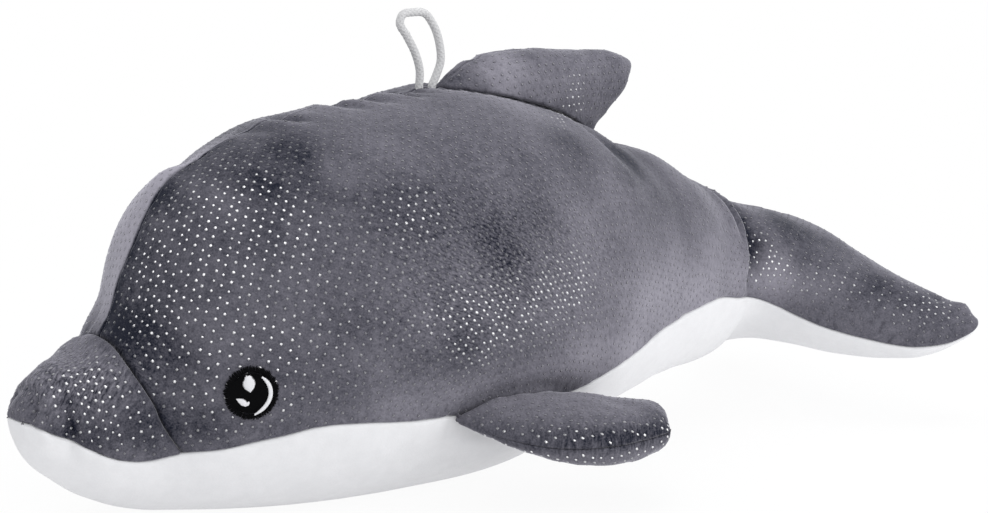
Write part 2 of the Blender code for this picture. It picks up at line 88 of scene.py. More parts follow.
class Value:  # a socket that takes part in Python arithmetic
    def __init__(self, finish, socket):
        self.finish = finish
        self.socket = socket

    def maths(self, operation, *values):
        inputs = dict(enumerate(values))
        return self.finish.node("Math", {"operation": operation}, inputs)[0]

    def __add__(self, other):
        return self.maths("ADD", self, other)

    def __radd__(self, other):
        return self.maths("ADD", other, self)

    def __sub__(self, other):
        return self.maths("SUBTRACT", self, other)

    def __rsub__(self, other):
        return self.maths("SUBTRACT", other, self)

    def __mul__(self, other):
        return self.maths("MULTIPLY", self, other)

    def __truediv__(self, other):
        return self.maths("DIVIDE", self, other)

    def __pow__(self, other):
        return self.maths("POWER", self, other)

    def floor(self):
        return self.maths("FLOOR", self)

    def sine(self):
        return self.maths("SINE", self)

    def lesser(self, other):
        return self.maths("MINIMUM", self, other)

    def limited(self):
        return self.maths("MAXIMUM", self, 0).lesser(1)

    def smooth(self, low, high):
        settings = {"interpolation_type": "SMOOTHSTEP"}
        return self.finish.node("MapRange", settings, {"Value": self, "From Min": low, "From Max": high})[0]


class Finish:  # a material or world and the nodes in it
    def __init__(self, name, owner=None):
        self.data = owner or bpy.data.materials.new(name)
        self.data.use_nodes = True
        self.tree = self.data.node_tree
        self.tree.nodes.clear()

    def node(self, kind, settings=None, inputs=None):
        made = self.tree.nodes.new("ShaderNode" + kind)
        for key, setting in (settings or {}).items():
            setattr(made, key, setting)
        for key, given in (inputs or {}).items():
            if isinstance(given, Value):
                self.tree.links.new(given.socket, made.inputs[key])
            else:
                made.inputs[key].default_value = given
        return Outputs(self, made)

    def blend(self, factor, first, second, mode="MIX"):
        inputs = {"Factor": factor, 6: first, 7: second}
        return self.node("Mix", {"data_type": "RGBA", "blend_type": mode}, inputs)[2]

    def noise(self, scale, detail=2, roughness=0.5, place=None):
        at = place or self.node("TexCoord")["Object"]
        inputs = {"Vector": at, "Scale": scale, "Detail": detail, "Roughness": roughness}
        return self.node("TexNoise", {}, inputs)[0]

    def stored(self, name):  # a value that the mesh carries
        return self.node("Attribute", {"attribute_name": name})

    def bump(self, height, strength, distance):
        inputs = {"Height": height, "Strength": strength, "Distance": distance}
        return self.node("Bump", {}, inputs)["Normal"]

    def output(self, shader, kind="OutputMaterial"):
        self.node(kind, {}, {"Surface": shader})
        return self.data

    def principled(self, inputs):
        return self.output(self.node("BsdfPrincipled", {}, inputs)[0])


class Outputs:  # a node's output sockets, as values
    def __init__(self, finish, made):
        self.finish = finish
        self.made = made

    def __getitem__(self, key):
        return Value(self.finish, self.made.outputs[key])


def rgba(colour):
    return (*colour, 1)


# curves through chosen points

def through(table, at, column=1):
    table = np.asarray(table, float)
    xs, ys = table[:, 0], table[:, column]
    at = np.clip(at, xs[0], xs[-1])
    slopes = np.gradient(ys, xs)
    i = np.clip(np.searchsorted(xs, at) - 1, 0, len(xs) - 2)
    step = xs[i + 1] - xs[i]
    t = (at - xs[i]) / step
    near = (1 + 2 * t) * (1 - t) ** 2 * ys[i] + t * (1 - t) ** 2 * step * slopes[i]
    far = t * t * (3 - 2 * t) * ys[i + 1] + t * t * (t - 1) * step * slopes[i + 1]
    return near + far


def quarterRound(share):
    return np.sqrt(np.clip(1 - (1 - np.clip(share, 0, 1)) ** 2, 0, 1))


def dip(distance, halfWidth):
    return np.exp(-((distance / halfWidth) ** 2))


def ease(share):
    share = np.clip(share, 0, 1)
    return share * share * (3 - 2 * share)


def lumps(points, size, seed, waves=14):  # smooth noise of a given size, mostly between -1 and 1
    random = np.random.default_rng(seed)
    total = np.zeros(points.shape[:-1])
    for _ in range(waves):
        direction = random.normal(size=3)
        direction *= 2 * np.pi / (size * random.uniform(0.7, 1.5) * np.linalg.norm(direction))
        total += np.sin(points @ direction + random.uniform(0, 2 * np.pi))
    return total / math.sqrt(waves)


def spots(table, x, z):  # soft spots: middle X and Z, half sizes, strength, in millimetres of the side view
    x, z = x / mm, z / mm
    return sum(s * np.exp(-(((x - a) / p) ** 2) - ((z - b) / q) ** 2) for a, b, p, q, s in table)


# body surface, as in the CAD model, with seams and a few heights moved to where the photo shows them

body = {
    # place along X, top, middle, underside, half width, side seam angle, sweep and droop of the outer end
    "stations": (
        (-154, 66, 48, 21, 20, -1, 0, 0),
        (-140, 69.5, 48, 21, 20, -13, 0, 0),
        (-126, 73.4, 47, 14, 27, -20.5, 0, 0),
        (-114, 83, 48, 8, 30, -20.5, 0, 0),
        (-104, 104, 52, 5, 34, -20, 0, 0),
        (-90, 127, 59, 3, 45, -22, 0, 0),
        (-68, 142, 66, 0, 55, -21, 0, 0),
        (-36, 153.8, 72, -3, 65, -20, 0, 0),
        (10, 160, 75, -4, 73, -25, 0, 0),
        (60, 161, 76, -1, 74, -26, 0, 0),
        (100, 151, 77, 11, 67, -22, 0, 0),
        (135, 134, 77, 21, 55, -16, 0, 0),
        (165, 122, 74, 25, 44, -11, 0, 0),
        (190, 107.6, 68, 27, 34, -9, 0, 0),
        (206, 101, 62, 32, 33, -8, 0, 0),
        (221, 96, 63, 36, 50, -5.5, 4, -14),
        (238, 91, 63, 38, 66, -4.5, 4, -21),
        (255, 86, 62, 40, 80, -4.5, 5, -24),
        (268, 80, 61, 42, 89, -5, 9, -21),
        (278, 76, 60, 44, 95, -5, 15, -15),
    ),
    "drawnLength": 447,  # over the swept tips of the flukes
    "drawnHeight": 161.4,
    "noseRound": 0.026,
    "nosePlan": ((0, 0.30), (0.15, 0.62), (0.5, 0.88), (1, 1)),
    "tailRound": 0.022,
    "tailPlan": ((0, 0.88), (0.12, 0.94), (0.45, 0.985), (1, 1)),
    "widthPower": 0.91,
    "backPower": 0.91,
    "bellyPower": 0.83,
    "sweepPower": 1.15,
    "droopPower": 1.3,
    "seamWander": 1.1,  # degrees that the side seam strays up and down
}
bellyLow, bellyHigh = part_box("belly_panel")
along = (bellyHigh.x - bellyLow.x) / body["drawnLength"]  # metres for each millimetre of the drawing
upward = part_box("back_panel_left")[1].z / body["drawnHeight"]
stations = np.array(body["stations"], float) * [along, upward, upward, upward, along, 1, along, upward]
noseX, tailX = stations[0, 0], stations[-1, 0]


def seamAngle(x):
    wander = np.sin(x / 0.0123) + np.sin(x / 0.0071 + 2) + np.sin(x / 0.031 + 1)
    inner = ease((x - noseX) / 0.03) * ease((tailX - x) / 0.03)
    return np.radians(through(stations, x, 5) + body["seamWander"] / 3 * wander * inner)


def bodyPoint(x, angle, inset=0.0):  # 90 degrees is the top, 0 the left side, 180 the right side
    x, angle = np.broadcast_arrays(np.asarray(x, float), np.asarray(angle, float))
    top, middle, low, half, _, sweep, droop = (through(stations, x, i) for i in range(1, 8))
    front = (x - noseX) / body["noseRound"]
    rear = (tailX - x) / body["tailRound"]
    rounding = quarterRound(front) * quarterRound(rear)
    plan = through(body["nosePlan"], np.clip(front, 0, 1)) * through(body["tailPlan"], np.clip(rear, 0, 1))
    across, rise = np.cos(angle), np.sin(angle)
    out = np.abs(across) ** body["widthPower"]
    lift = np.where(
        rise >= 0,
        (top - middle - inset) * np.abs(rise) ** body["backPower"],
        (inset - middle + low) * np.abs(rise) ** body["bellyPower"],
    )
    drawnIn = inset * (np.clip(1 - front, 0, 1) - np.clip(1 - rear, 0, 1))
    return np.stack(
        [
            x + drawnIn + sweep * out ** body["sweepPower"],
            -np.sign(across) * (half - inset) * plan * out,
            np.maximum(middle + droop * out ** body["droopPower"] + lift * rounding, inset),
        ],
        -1,
    )


def backHeight(x, y):
    top, middle, _, half = (through(stations, x, i) for i in range(1, 5))
    across = np.clip(np.abs(y) / half, 0, 1) ** (1 / body["widthPower"])
    return middle + (top - middle) * np.sqrt(1 - across**2) ** body["backPower"]


def flankWidth(x, z):
    top, middle, low, half = (through(stations, x, i) for i in range(1, 5))
    above = z >= middle
    share = np.where(above, (z - middle) / (top - middle), (middle - z) / (middle - low))
    rise = np.clip(share, 0, 1) ** (1 / np.where(above, body["backPower"], body["bellyPower"]))
    return half * np.sqrt(1 - rise**2) ** body["widthPower"]


# folds of the cloth

folds = {
    "snoutSeamTop": -118,
    "snoutSeamSide": -100,
    "snoutSeamRun": 110,
    "snoutSeamBend": 3,
    "snoutLength": 0.036,
    "headDip": 0.0026,  # how far the head sinks behind the beak's seam
    "headDipReach": 0.009,
    "snoutPuff": 0.0012,
    "snoutSlope": 0.0020,  # how much flatter the beak's top is than the CAD form
    "backPuckers": ((-46, 0.8), (-31, 2.4), (-5, 2.0), (9, 2.2), (26, 2.8), (33, 1.2)),  # place, depth
    "puckerWidth": 0.0036,
    "puckerReach": 0.008,
    "puckerSlant": 0.45,
    "puckerRidge": (0.3, 0.007, 0.0045),  # share of the depth, how far ahead, half width
    "creaseBend": 0.004,  # how much the creases of the tail curve back on the flanks
    "tailCrease": {"place": 199, "depth": 0.0050, "front": 0.0016, "rear": 0.0085},
    "tailRidge": (0.0016, 0.0036, 0.0026),  # height, how far ahead, half width
    "secondCrease": {"place": 191, "depth": 0.0024, "width": 0.0020},
    "secondRidge": (0.0010, 0.0045, 0.0030),
    # folds down the flanks beside the fin, each with its place at some distance from the middle plane
    "sideFolds": (
        {"place": 116, "aside": 0.036, "slant": 0.45, "depth": 0.0021, "front": 0.005, "rear": 0.014,
         "deepest": 0.032, "reach": 0.011},
        {"place": 148, "aside": 0.040, "slant": 0.4, "depth": 0.0010, "front": 0.010, "rear": 0.010,
         "deepest": 0.034, "reach": 0.014},
    ),
    # short folds in the beak's flanks: place, lean, width, height, depth
    "beakFolds": (
        ((-138, 46), 0.05, 1.5, 13, 3.4),
        ((-150, 54), -0.35, 1.2, 8, 2.6),
        ((-146, 50), 0.25, 0.9, 7, 0.9),
        ((-131, 40), 0.10, 1.3, 6, 1.0),
        ((-125, 38), -0.10, 1.1, 5, 0.7),
        ((-119, 36), 0.15, 1.2, 5, 0.6),
    ),
    # the right side of head and shoulder is flatter than the left: place, depth
    "rightHead": ((-150, 2.6), (-113, 3.6), (-104, 2.9), (-94, 1.2), (-84, 0.4), (-77, 0.6), (-70, 2.0),
                  (-62, 2.2), (-54, 1.6), (-40, 0.6), (-20, 1.2), (8, 2.4), (45, 0), (60, 0)),
    "besideSeam": (-80, 7, 9, 8, 2.2),  # swelling right of the forehead's seam: X and Y, half sizes, height
    "behindFin": (133, 0.0042, 0.010, 0.020),  # hollow at the fin's rear end: place, depth, half sizes
    "lumpDepth": 0.0006,
    # curl at the rear edge of each fluke's tip and the dent ahead of it: middle, size, rise
    "flukeNub": (((287, 80, 50), 4.6, 2.4), ((279, 73, 57), 4.0, -2.6)),
    "foldShade": 165,  # how fast the painted shade darkens with the depth of a fold
    "grooveReach": 0.0030,  # half width of the grooves round fin and flippers
    "stitchLength": 0.0009,
}
# ovals that fin and flippers are sewn on: middle and half sizes along X and along Y or Z, groove round them
finBase = {"middle": (90, 0), "half": (41, 15.5), "axis": 1, "groove": 0.0018, "stitches": 0.4}
flipperBase = {"middle": (40, 37), "half": (30, 9.5), "axis": 2, "groove": 0.0016, "stitches": 0.12}
eyePlace = {"x": -77.3, "z": 57.6, "radius": 0.0109, "calm": 0.016, "rim": 0.0005}


def snoutSeam(angle):
    share = np.clip(np.abs(np.degrees(angle) - 90) / folds["snoutSeamRun"], 0, 1) ** folds["snoutSeamBend"]
    return along * (folds["snoutSeamTop"] + (folds["snoutSeamSide"] - folds["snoutSeamTop"]) * share)


def footprint(points, base):  # signed distance from the oval that a fin is sewn on
    a = (points[..., 0] / mm - base["middle"][0]) / base["half"][0]
    b = (np.abs(points[..., base["axis"]]) / mm - base["middle"][1]) / base["half"][1]
    return (np.sqrt(a * a + b * b) - 1) * base["half"][1] * mm


def behindFin(points):
    place, deep, length, width = folds["behindFin"]
    x, y, z = points[..., 0], points[..., 1], points[..., 2]
    return deep * dip(x - along * place, length) * dip(y, width) * (z > 0.1)


def bodyFolds(points, angle):  # depth of folds and dents, inward, and the painted shade in them, paler on their ridges
    x, y, z = points[..., 0], points[..., 1], points[..., 2]
    side = np.abs(y)
    fromTop = np.abs(np.degrees(angle) - 90)
    upper = ease((100 - fromTop) / 30)
    swell = folds["lumpDepth"] * (lumps(points, 0.060, 3) + 0.45 * lumps(points, 0.024, 4))
    depth = swell.copy()
    share, ahead, half = folds["puckerRidge"]
    for place, deep in folds["backPuckers"]:
        away = x - along * place - folds["puckerSlant"] * side
        reach = dip(side - 0.005, folds["puckerReach"]) * upper
        depth += deep * mm * (dip(away, folds["puckerWidth"]) - share * dip(away + ahead, half)) * reach

    crease, (rise, ahead, half) = folds["tailCrease"], folds["tailRidge"]
    bend = folds["creaseBend"] * np.sin(np.radians(np.clip(fromTop, 0, 90)) * 2)
    away = x - along * crease["place"] - bend
    width = np.where(away < 0, crease["front"], crease["rear"])
    ripple = 1 + 0.25 * lumps(points, 0.02, 5)
    depth += crease["depth"] * np.exp(-((np.abs(away) / width) ** 1.4)) * ripple * (0.30 + 0.70 * upper)
    depth -= rise * dip(away + ahead, half) * upper
    crease, (rise, ahead, half) = folds["secondCrease"], folds["secondRidge"]
    away = x - along * crease["place"] - bend * 0.6 - 0.15 * side
    onTop = ease((84 - fromTop) / 40)
    depth += crease["depth"] * dip(away, crease["width"]) * onTop
    depth -= rise * dip(away + ahead, half) * onTop

    for fold in folds["sideFolds"]:
        away = x - along * fold["place"] - fold["slant"] * (side - fold["aside"])
        width = np.where(away < 0, fold["front"], fold["rear"])
        reach = dip(side - fold["deepest"], fold["reach"]) * upper
        depth += fold["depth"] * dip(away, width) * reach
    depth += behindFin(points)

    facet = np.sin(np.clip(y / 0.018, 0, 1) * np.pi / 2) * ease((z - 0.070) / 0.02)
    depth += mm * through(folds["rightHead"], x / mm) * facet
    a, b, length, width, rise = folds["besideSeam"]
    depth -= rise * mm * dip(x - along * a, length * mm) * dip(y - b * mm, width * mm) * (z > 0.07)
    for (a, b, c), size, rise in folds["flukeNub"]:
        away = np.sqrt((x - along * a) ** 2 + (side - along * b) ** 2 + (z - upward * c) ** 2)
        depth -= rise * mm * dip(away, size * mm)
    for (a, c), lean, width, height, deep in folds["beakFolds"]:
        away = x - along * a + lean * (z - upward * c)
        crease = np.exp(-np.abs(away) / mm / np.where(away < 0, 1.6, 0.7) / width)
        crease -= 0.3 * dip(away - 1.6 * width * mm, width * mm)
        depth += deep * mm * crease * dip(z - upward * c, height * mm) \
            * ease((noseX + 0.045 - x) / 0.01) * ease((x - noseX) / 0.004)
    for base in (finBase, flipperBase):
        stitch = 1 + base["stitches"] * np.sin(x / folds["stitchLength"])
        groove = base["groove"] * dip(footprint(points, base), folds["grooveReach"]) * stitch
        depth += groove * (upper if base is finBase else 1)

    fromEye = np.hypot(x - along * eyePlace["x"], z - upward * eyePlace["z"])
    calm = 1 - dip(fromEye, eyePlace["calm"])
    # painted shade: the pile's colour darkens with the depth of each fold and groove and pales a little on
    # ridges
    shade = np.clip(folds["foldShade"] * (depth - swell), -0.25, 0.8) * calm
    return depth * calm + eyePlace["rim"] * dip(fromEye - eyePlace["radius"] - 0.0008, 0.0016), shade


# cloth sheets: a grid of points with its normals and its places in the cloth

cloth = {
    "thickness": 0.0016,
    "spacing": 0.0015,
    "edgeSteps": (0, 0.2, 0.45, 0.8, 1.2, 1.7, 2.3, 3.0),
    "dotPitch": 3.75,  # millimetres of cloth between neighbouring dots
    "dotStray": 0.36,  # how far a dot strays from its place
    "strayTurns": ((2.4, 4.1, 0.0), (3.7, -1.9, 1.0)),
    # where the cloth is drawn tight or gathered: middle X and Z, half sizes, change of its stretch
    "stretch": (
        (-84, 66, 34, 30, 0.34), (-132, 66, 14, 9, -0.26), (-40, 100, 26, 34, 0.14),
        (44, 92, 56, 36, -0.24), (150, 80, 40, 40, -0.12), (208, 74, 10, 40, -0.20),
        (246, 60, 26, 24, 0.36), (52, 30, 36, 10, 0.10),
    ),
    "flatteningRounds": 700,
}


def spread(length, spacing=None):  # shares from 0 to 1, closer together at both ends
    ends = np.array(cloth["edgeSteps"]) * mm
    count = max(4, round((length - 2 * ends[-1]) / (spacing or cloth["spacing"])))
    middle = np.linspace(ends[-1], length - ends[-1], count)
    return np.concatenate([ends[:-1], middle, (length - ends[:-1])[::-1]]) / length


def roundedEnd(reach):  # distances from a rounded end, closer together at the end
    turns = np.concatenate([[0, 0.006, 0.014, 0.026, 0.042], np.linspace(0.065, np.pi / 2, 20)])
    return reach * (1 - np.cos(turns))


def gridNormals(points):
    down = np.gradient(points, axis=0)
    across = np.gradient(points, axis=1)
    normals = np.cross(down, across)
    size = np.linalg.norm(normals, axis=-1, keepdims=True)
    return normals / np.maximum(size, 1e-12)


def edgeDistances(points):  # along the cloth from its four edges: first and last row, first and last column
    rows = np.linalg.norm(np.diff(points, axis=0), axis=-1)
    columns = np.linalg.norm(np.diff(points, axis=1), axis=-1)
    fromFirstRow = np.concatenate([np.zeros((1, rows.shape[1])), np.cumsum(rows, axis=0)])
    fromFirstColumn = np.concatenate([np.zeros((columns.shape[0], 1)), np.cumsum(columns, axis=1)], axis=1)
    return (
        fromFirstRow,
        fromFirstRow[-1:] - fromFirstRow,
        fromFirstColumn,
        fromFirstColumn[:, -1:] - fromFirstColumn,
    )


def makeSheet(points, edgeRadii, depth, outward, puckers, seed, shade=None):  # its edges are turned in
    normals = gridNormals(points)
    for row, inward in ((0, 1), (-1, -2)):
        if np.ptp(points[row], axis=0).max() < 1e-5:
            tip = points[row] - points[inward].mean(0)
            normals[row] = tip / np.linalg.norm(tip, axis=-1, keepdims=True)
    flip = float(np.sum(normals * outward)) < 0
    if flip:
        normals = -normals
    distances = edgeDistances(points)
    rowLength = distances[2] + distances[3]
    turnedIn = np.zeros(points.shape[:2])
    for distance, radius in zip(distances, edgeRadii):
        if radius:
            wave = 1 + 0.22 * lumps(points, 0.011, seed)
            radius = np.minimum(radius * wave, 0.2 * rowLength) + 1e-6
            turnedIn = np.maximum(turnedIn, radius * (1 - quarterRound(distance / radius)))
            ripple = lumps(points, 0.008, seed + 20) * ease(rowLength / 0.03)
            turnedIn += puckers * np.clip(ripple, 0, 2) * np.exp(-distance / 0.006)
    surface = points - normals * (turnedIn + depth)[..., None]
    surface[..., 2] = np.maximum(surface[..., 2], 0)
    return {
        "base": points,
        "points": surface,
        "normals": normals,
        "flip": flip,
        "distances": distances,
        "shade": np.zeros(points.shape[:2]) if shade is None else shade,
        "start": (0, -1),  # the row and column that the cloth's places are measured from
        "streakTurn": napAndShading["streakTurn"],
    }


def laidFlat(points, stretch, guess):  # springs between the sheet's points keep its lengths as it goes flat
    rows, columns = (np.unique(np.linspace(0, n - 1, 2 + n // 5).astype(int)) for n in points.shape[:2])
    coarse = np.ix_(rows, columns)
    at, scale, start = points[coarse], stretch[coarse], guess[coarse]
    place, speed = start.copy(), np.zeros_like(start)
    every, early, late = slice(None), slice(None, -1), slice(1, None)
    pairs = (((early, every), (late, every)), ((every, early), (every, late)),
             ((early, early), (late, late)), ((early, late), (late, early)))
    springs = []
    for first, second in pairs:
        length = 2 * np.linalg.norm(at[second] - at[first], axis=-1) / (scale[first] + scale[second])
        springs.append((first, second, length))
    for _ in range(cloth["flatteningRounds"]):
        move = np.zeros_like(place)
        for first, second, length in springs:
            gap = place[second] - place[first]
            size = np.maximum(np.linalg.norm(gap, axis=-1), 1e-6)
            pull = gap * (0.5 * (1 - length / size))[..., None]
            move[first] += pull
            move[second] -= pull
        speed = 0.9 * speed + 0.1 * move
        place += speed
    change = place - start
    for axis, picked in ((0, rows), (1, columns)):
        steps = np.arange(points.shape[axis])
        fill = lambda line, at=steps, known=picked: np.interp(at, known, line)
        change = np.apply_along_axis(fill, axis, change)
    return guess + change


def placeInCloth(sheet):  # millimetres along and across the cloth before it was stuffed
    if "place" in sheet:
        return sheet["place"]
    points = sheet["base"]
    stretch = mm * (1 + spots(cloth["stretch"], points[..., 0], points[..., 2]))
    stretch *= 1 + 0.05 * lumps(points, 0.045, 30)
    down = 2 * np.linalg.norm(np.diff(points, axis=0), axis=-1) / (stretch[1:] + stretch[:-1])
    across = 2 * np.linalg.norm(np.diff(points, axis=1), axis=-1) / (stretch[:, 1:] + stretch[:, :-1])
    down = np.concatenate([np.zeros((1, down.shape[1])), np.cumsum(down, axis=0)])
    across = np.concatenate([np.zeros((across.shape[0], 1)), np.cumsum(across, axis=1)], axis=1)
    row, column = sheet["start"]
    guess = np.stack([down - down[row : row + 1 or None], across - across[:, [column]]], -1)
    sheet["place"] = laidFlat(points, stretch, guess)
    return sheet["place"]


def shellFaces(rows, columns, flip):
    index = np.arange(rows * columns).reshape(rows, columns)
    outer = np.stack([index[:-1, :-1], index[1:, :-1], index[1:, 1:], index[:-1, 1:]], -1).reshape(-1, 4)
    inner = outer[:, ::-1] + rows * columns
    ring = np.concatenate([index[:, 0], index[-1, 1:], index[-2::-1, -1], index[0, -2:0:-1]])
    following = np.roll(ring, -1)
    border = np.stack([following, ring, ring + rows * columns, following + rows * columns], -1)
    faces = np.concatenate([outer, inner, border])
    return faces[:, ::-1] if flip else faces


def addMesh(name, points, faces, finish, attributes=None):
    mesh = bpy.data.meshes.new(name)
    mesh.from_pydata(points.reshape(-1, 3).tolist(), [], faces.tolist())
    mesh.materials.append(finish)
    mesh.shade_smooth()
    for key, values in (attributes or {}).items():
        values = np.asarray(values, np.float32)
        kind = "FLOAT_VECTOR" if values.ndim == 2 else "FLOAT"
        layer = mesh.attributes.new(key, kind, "POINT")
        layer.data.foreach_set("vector" if values.ndim == 2 else "value", values.ravel())
    piece = addObject(name, mesh)
    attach(piece, "root")
    return piece


napAndShading = {
    # darker and lighter patches, partly brushed pile and partly painted light and shade: middle X and Z,
    # half sizes, strength
    "patches": (
        (-110, 84, 9, 13, -0.70), (-112, 48, 9, 12, -0.36), (-101, 108, 7, 13, -0.30),
        (-87, 129, 8, 8, -0.40), (-70, 139, 9, 6, -0.35), (-57, 137, 8, 9, -0.62),
        (-42, 141, 8, 8, -0.55), (-62, 122, 7, 8, -0.30), (-24, 131, 22, 5, -0.26),
        (30, 110, 11, 12, -0.30), (-70, 92, 30, 22, -0.10), (-133, 44, 19, 7, -0.58),
        (-136, 74, 14, 6, 0.45), (34, 50, 42, 9, 0.50), (66, 76, 16, 30, 0.22), (118, 72, 26, 18, 1.10),
        (162, 68, 24, 20, 1.20), (178, 90, 16, 14, 0.30), (86, 100, 40, 40, 0.28),
        (-8, 122, 30, 14, -0.32), (202.5, 98, 3.5, 9, -0.80), (212, 70, 7, 14, 1.00),
        (243, 57, 10, 6, -0.30), (264, 54, 14, 8, -0.30), (40, 43, 26, 4, 0.15), (60, 33, 39, 5, -0.84),
        (74, 168, 14, 10, 0.95), (112, 164, 34, 14, 0.32), (121, 129, 14, 9, -0.70),
        (-78, 116, 13, 12, -0.25), (-100, 68, 10, 10, -0.30), (-20, 46, 26, 8, 0.35),
        (100, 55, 24, 10, 0.55), (190, 70, 9, 12, 0.70), (204, 80, 3.5, 10, -0.30), (226, 64, 9, 8, 0.40),
        (254, 64, 9, 6, -0.35), (230, 88, 16, 7, -0.80), (82, 142, 28, 10, -0.42), (60, 22, 44, 5, 0.30),
        (-133, 56, 8, 5, -0.25), (70, 57, 14, 9, 0.50), (-94, 47, 9, 8, -0.40), (-76, 62, 8, 10, 0.25),
        (206, 66, 10, 9, 0.85), (96, 52, 16, 8, 0.45), (-58, 60, 22, 12, -0.25), (-34, 151, 12, 5, -0.35),
        (44, 112, 12, 16, -0.25), (124, 128, 12, 6, -0.40), (-102, 76, 7, 10, -0.20),
        (8, 70, 12, 10, -0.28), (138, 92, 10, 12, 0.25), (142, 58, 14, 8, 0.30),
        (134, 112, 16, 10, -0.28), (236, 77, 16, 6, -0.28), (-48, 147, 14, 6, -0.30),
        (53, 167, 5, 3, -0.30), (66, 174.5, 3, 2.4, -1.10), (20, 96, 60, 34, -0.06),
    ),
    # where streaks show in the pile
    "streaks": (
        (-134, 64, 18, 11, 2.2), (30, 96, 52, 34, 1.5), (56, 30, 34, 9, 0.8), (120, 158, 24, 12, 0.4),
    ),
    "streakTurn": (0.75, -0.66),  # their direction along and across the cloth
    "snoutStreakTurn": (0.97, 0.24),
    "mottle": 0.10,
    "behindBeak": 0.55,  # painted shade in the hollow behind the beak's seam
    # painted shade along the left side of the forehead's seam
    "bySeam": 0.26,
    "foreheadStrip": 1.65,  # the right panel's pile lies the other way; its strip by the seam is painted pale, a painted sheen
}
lustre = {
    # painted highlights, where the foil dots are drawn glinting: middle X and Z, half sizes, strength
    "patches": (
        (-136, 61, 17, 10, 1.0), (-126, 46, 20, 11, 0.70), (-97, 105, 18, 24, 1.0),
        (-66, 124, 20, 18, 0.75), (-84, 68, 28, 26, 0.80), (-40, 92, 34, 44, 0.34),
        (-6, 122, 16, 12, 0.52), (18, 78, 24, 17, 0.85), (60, 86, 22, 18, 0.60), (208, 74, 8, 12, 1.0),
        (232, 66, 18, 9, 0.42), (268, 54, 22, 9, 0.52), (44, 29, 52, 7.5, 1.0), (112, 158, 7, 9, 0.60),
        (98, 149, 22, 4, 0.50),
    ),
    # where the dots look long
    "drawn": ((40, 92, 50, 34, 0.35), (-134, 66, 14, 8, 0.3), (60, 30, 30, 8, 0.5)),
    "slant": (0.75, 0.0, -0.66),
    "radius": 0.00060,
    "rise": 0.00016,
    "rimRise": 0.00002,
    "sunk": 0.0003,
    "sides": 7,
    "edgeClearance": 0.0016,
    "clearance": 0.0021,  # two dots closer than this are one dot, where the cloth is gathered
}


def foreheadStrip(points):  # 1 on the strip of the right panel that lies along the forehead's seam
    x, y, z = points[..., 0], points[..., 1], points[..., 2]
    beside = ease(y / 0.0025) * dip(np.maximum(y - 0.012, 0), 0.02)
    return beside * ease((-0.045 - x) / 0.03) * ease((z - 0.07) / 0.02)


def napAndShadingTone(points):  # how pale the pile is: its patches of brushed pile and painted light and shade, painted shade along the forehead's seam and a painted sheen on the strip beside it
    x, y, z = points[..., 0], points[..., 1], points[..., 2]
    strip = foreheadStrip(points)
    forehead = (y < 0.0005) * ease((-0.035 - x) / 0.03) * ease((z - 0.08) / 0.02)
    # painted shade along the left side of the forehead's seam
    edge = napAndShading["bySeam"] * (dip(y, 0.004) + dip(y, 0.013)) * forehead
    tone = (spots(napAndShading["patches"], x, z) - edge) * (1 - strip) + napAndShading["foreheadStrip"] * strip
    return tone + napAndShading["mottle"] * lumps(points, 0.03, 40)


def clothPanel(name, sheet, finish):
    outer, normals = sheet["points"], sheet["normals"]
    inner = outer - normals * cloth["thickness"]
    inner[..., 2] = np.maximum(inner[..., 2], 0.4 * cloth["thickness"])
    rows, columns = outer.shape[:2]
    place = placeInCloth(sheet)
    a, b = sheet["streakTurn"]
    zero = np.zeros((rows, columns))
    down, across = place[..., 0], place[..., 1]
    streakPlace = np.stack([a * down + b * across, a * across - b * down, zero], -1)
    values = {
        "clothPlace": np.stack([down, across, zero], -1).reshape(-1, 3),
        "streakPlace": streakPlace.reshape(-1, 3),
        "streaks": (0.3 + spots(napAndShading["streaks"], outer[..., 0], outer[..., 2])).ravel(),
        # the pile's tone with its painted light and shade, darkened by the painted shade of the folds
        "napAndShadingTone": (napAndShadingTone(outer) - sheet["shade"]).ravel(),
    }
    attributes = {key: np.concatenate([value, value]) for key, value in values.items()}
    points = np.concatenate([outer.reshape(-1, 3), inner.reshape(-1, 3)])
    return addMesh(name, points, shellFaces(rows, columns, sheet["flip"]), finish, attributes)


def dotPlaces(sheet):  # for each dot its cell in the sheet's grid and its shares down and across that cell
    place = placeInCloth(sheet)
    corner = place[:-1, :-1]
    down, across = place[1:, :-1] - corner, place[:-1, 1:] - corner
    pitch = np.array([cloth["dotPitch"], cloth["dotPitch"] * math.sqrt(3)])
    centre = corner + (down + across) / 2
    found = []
    for shift in (0.0, 0.5):
        cell = np.round(centre / pitch - shift)
        stray = [np.sin(a * cell[..., 0] + b * cell[..., 1] + c) for a, b, c in cloth["strayTurns"]]
        nearest = (cell + shift) * pitch + cloth["dotStray"] * np.stack(stray, -1)
        offset = nearest - corner
        area = down[..., 0] * across[..., 1] - down[..., 1] * across[..., 0]
        area = np.where(np.abs(area) < 1e-9, 1e-9, area)
        s = (offset[..., 0] * across[..., 1] - offset[..., 1] * across[..., 0]) / area
        t = (down[..., 0] * offset[..., 1] - down[..., 1] * offset[..., 0]) / area
        inside = (s >= 0) & (s < 1) & (t >= 0) & (t < 1)
        inside &= np.minimum.reduce(sheet["distances"])[:-1, :-1] > lustre["edgeClearance"]
        i, j = np.nonzero(inside)
        found.append(np.stack([i, j, s[inside], t[inside]], -1))
    found = np.concatenate(found)
    i, j = found[:, 0].astype(int), found[:, 1].astype(int)
    spot = sheet["points"][i, j]
    crowded = np.linalg.norm(spot[:, None] - spot[None], axis=-1) < lustre["clearance"]
    return found[~np.tril(crowded, -1).any(axis=1)]


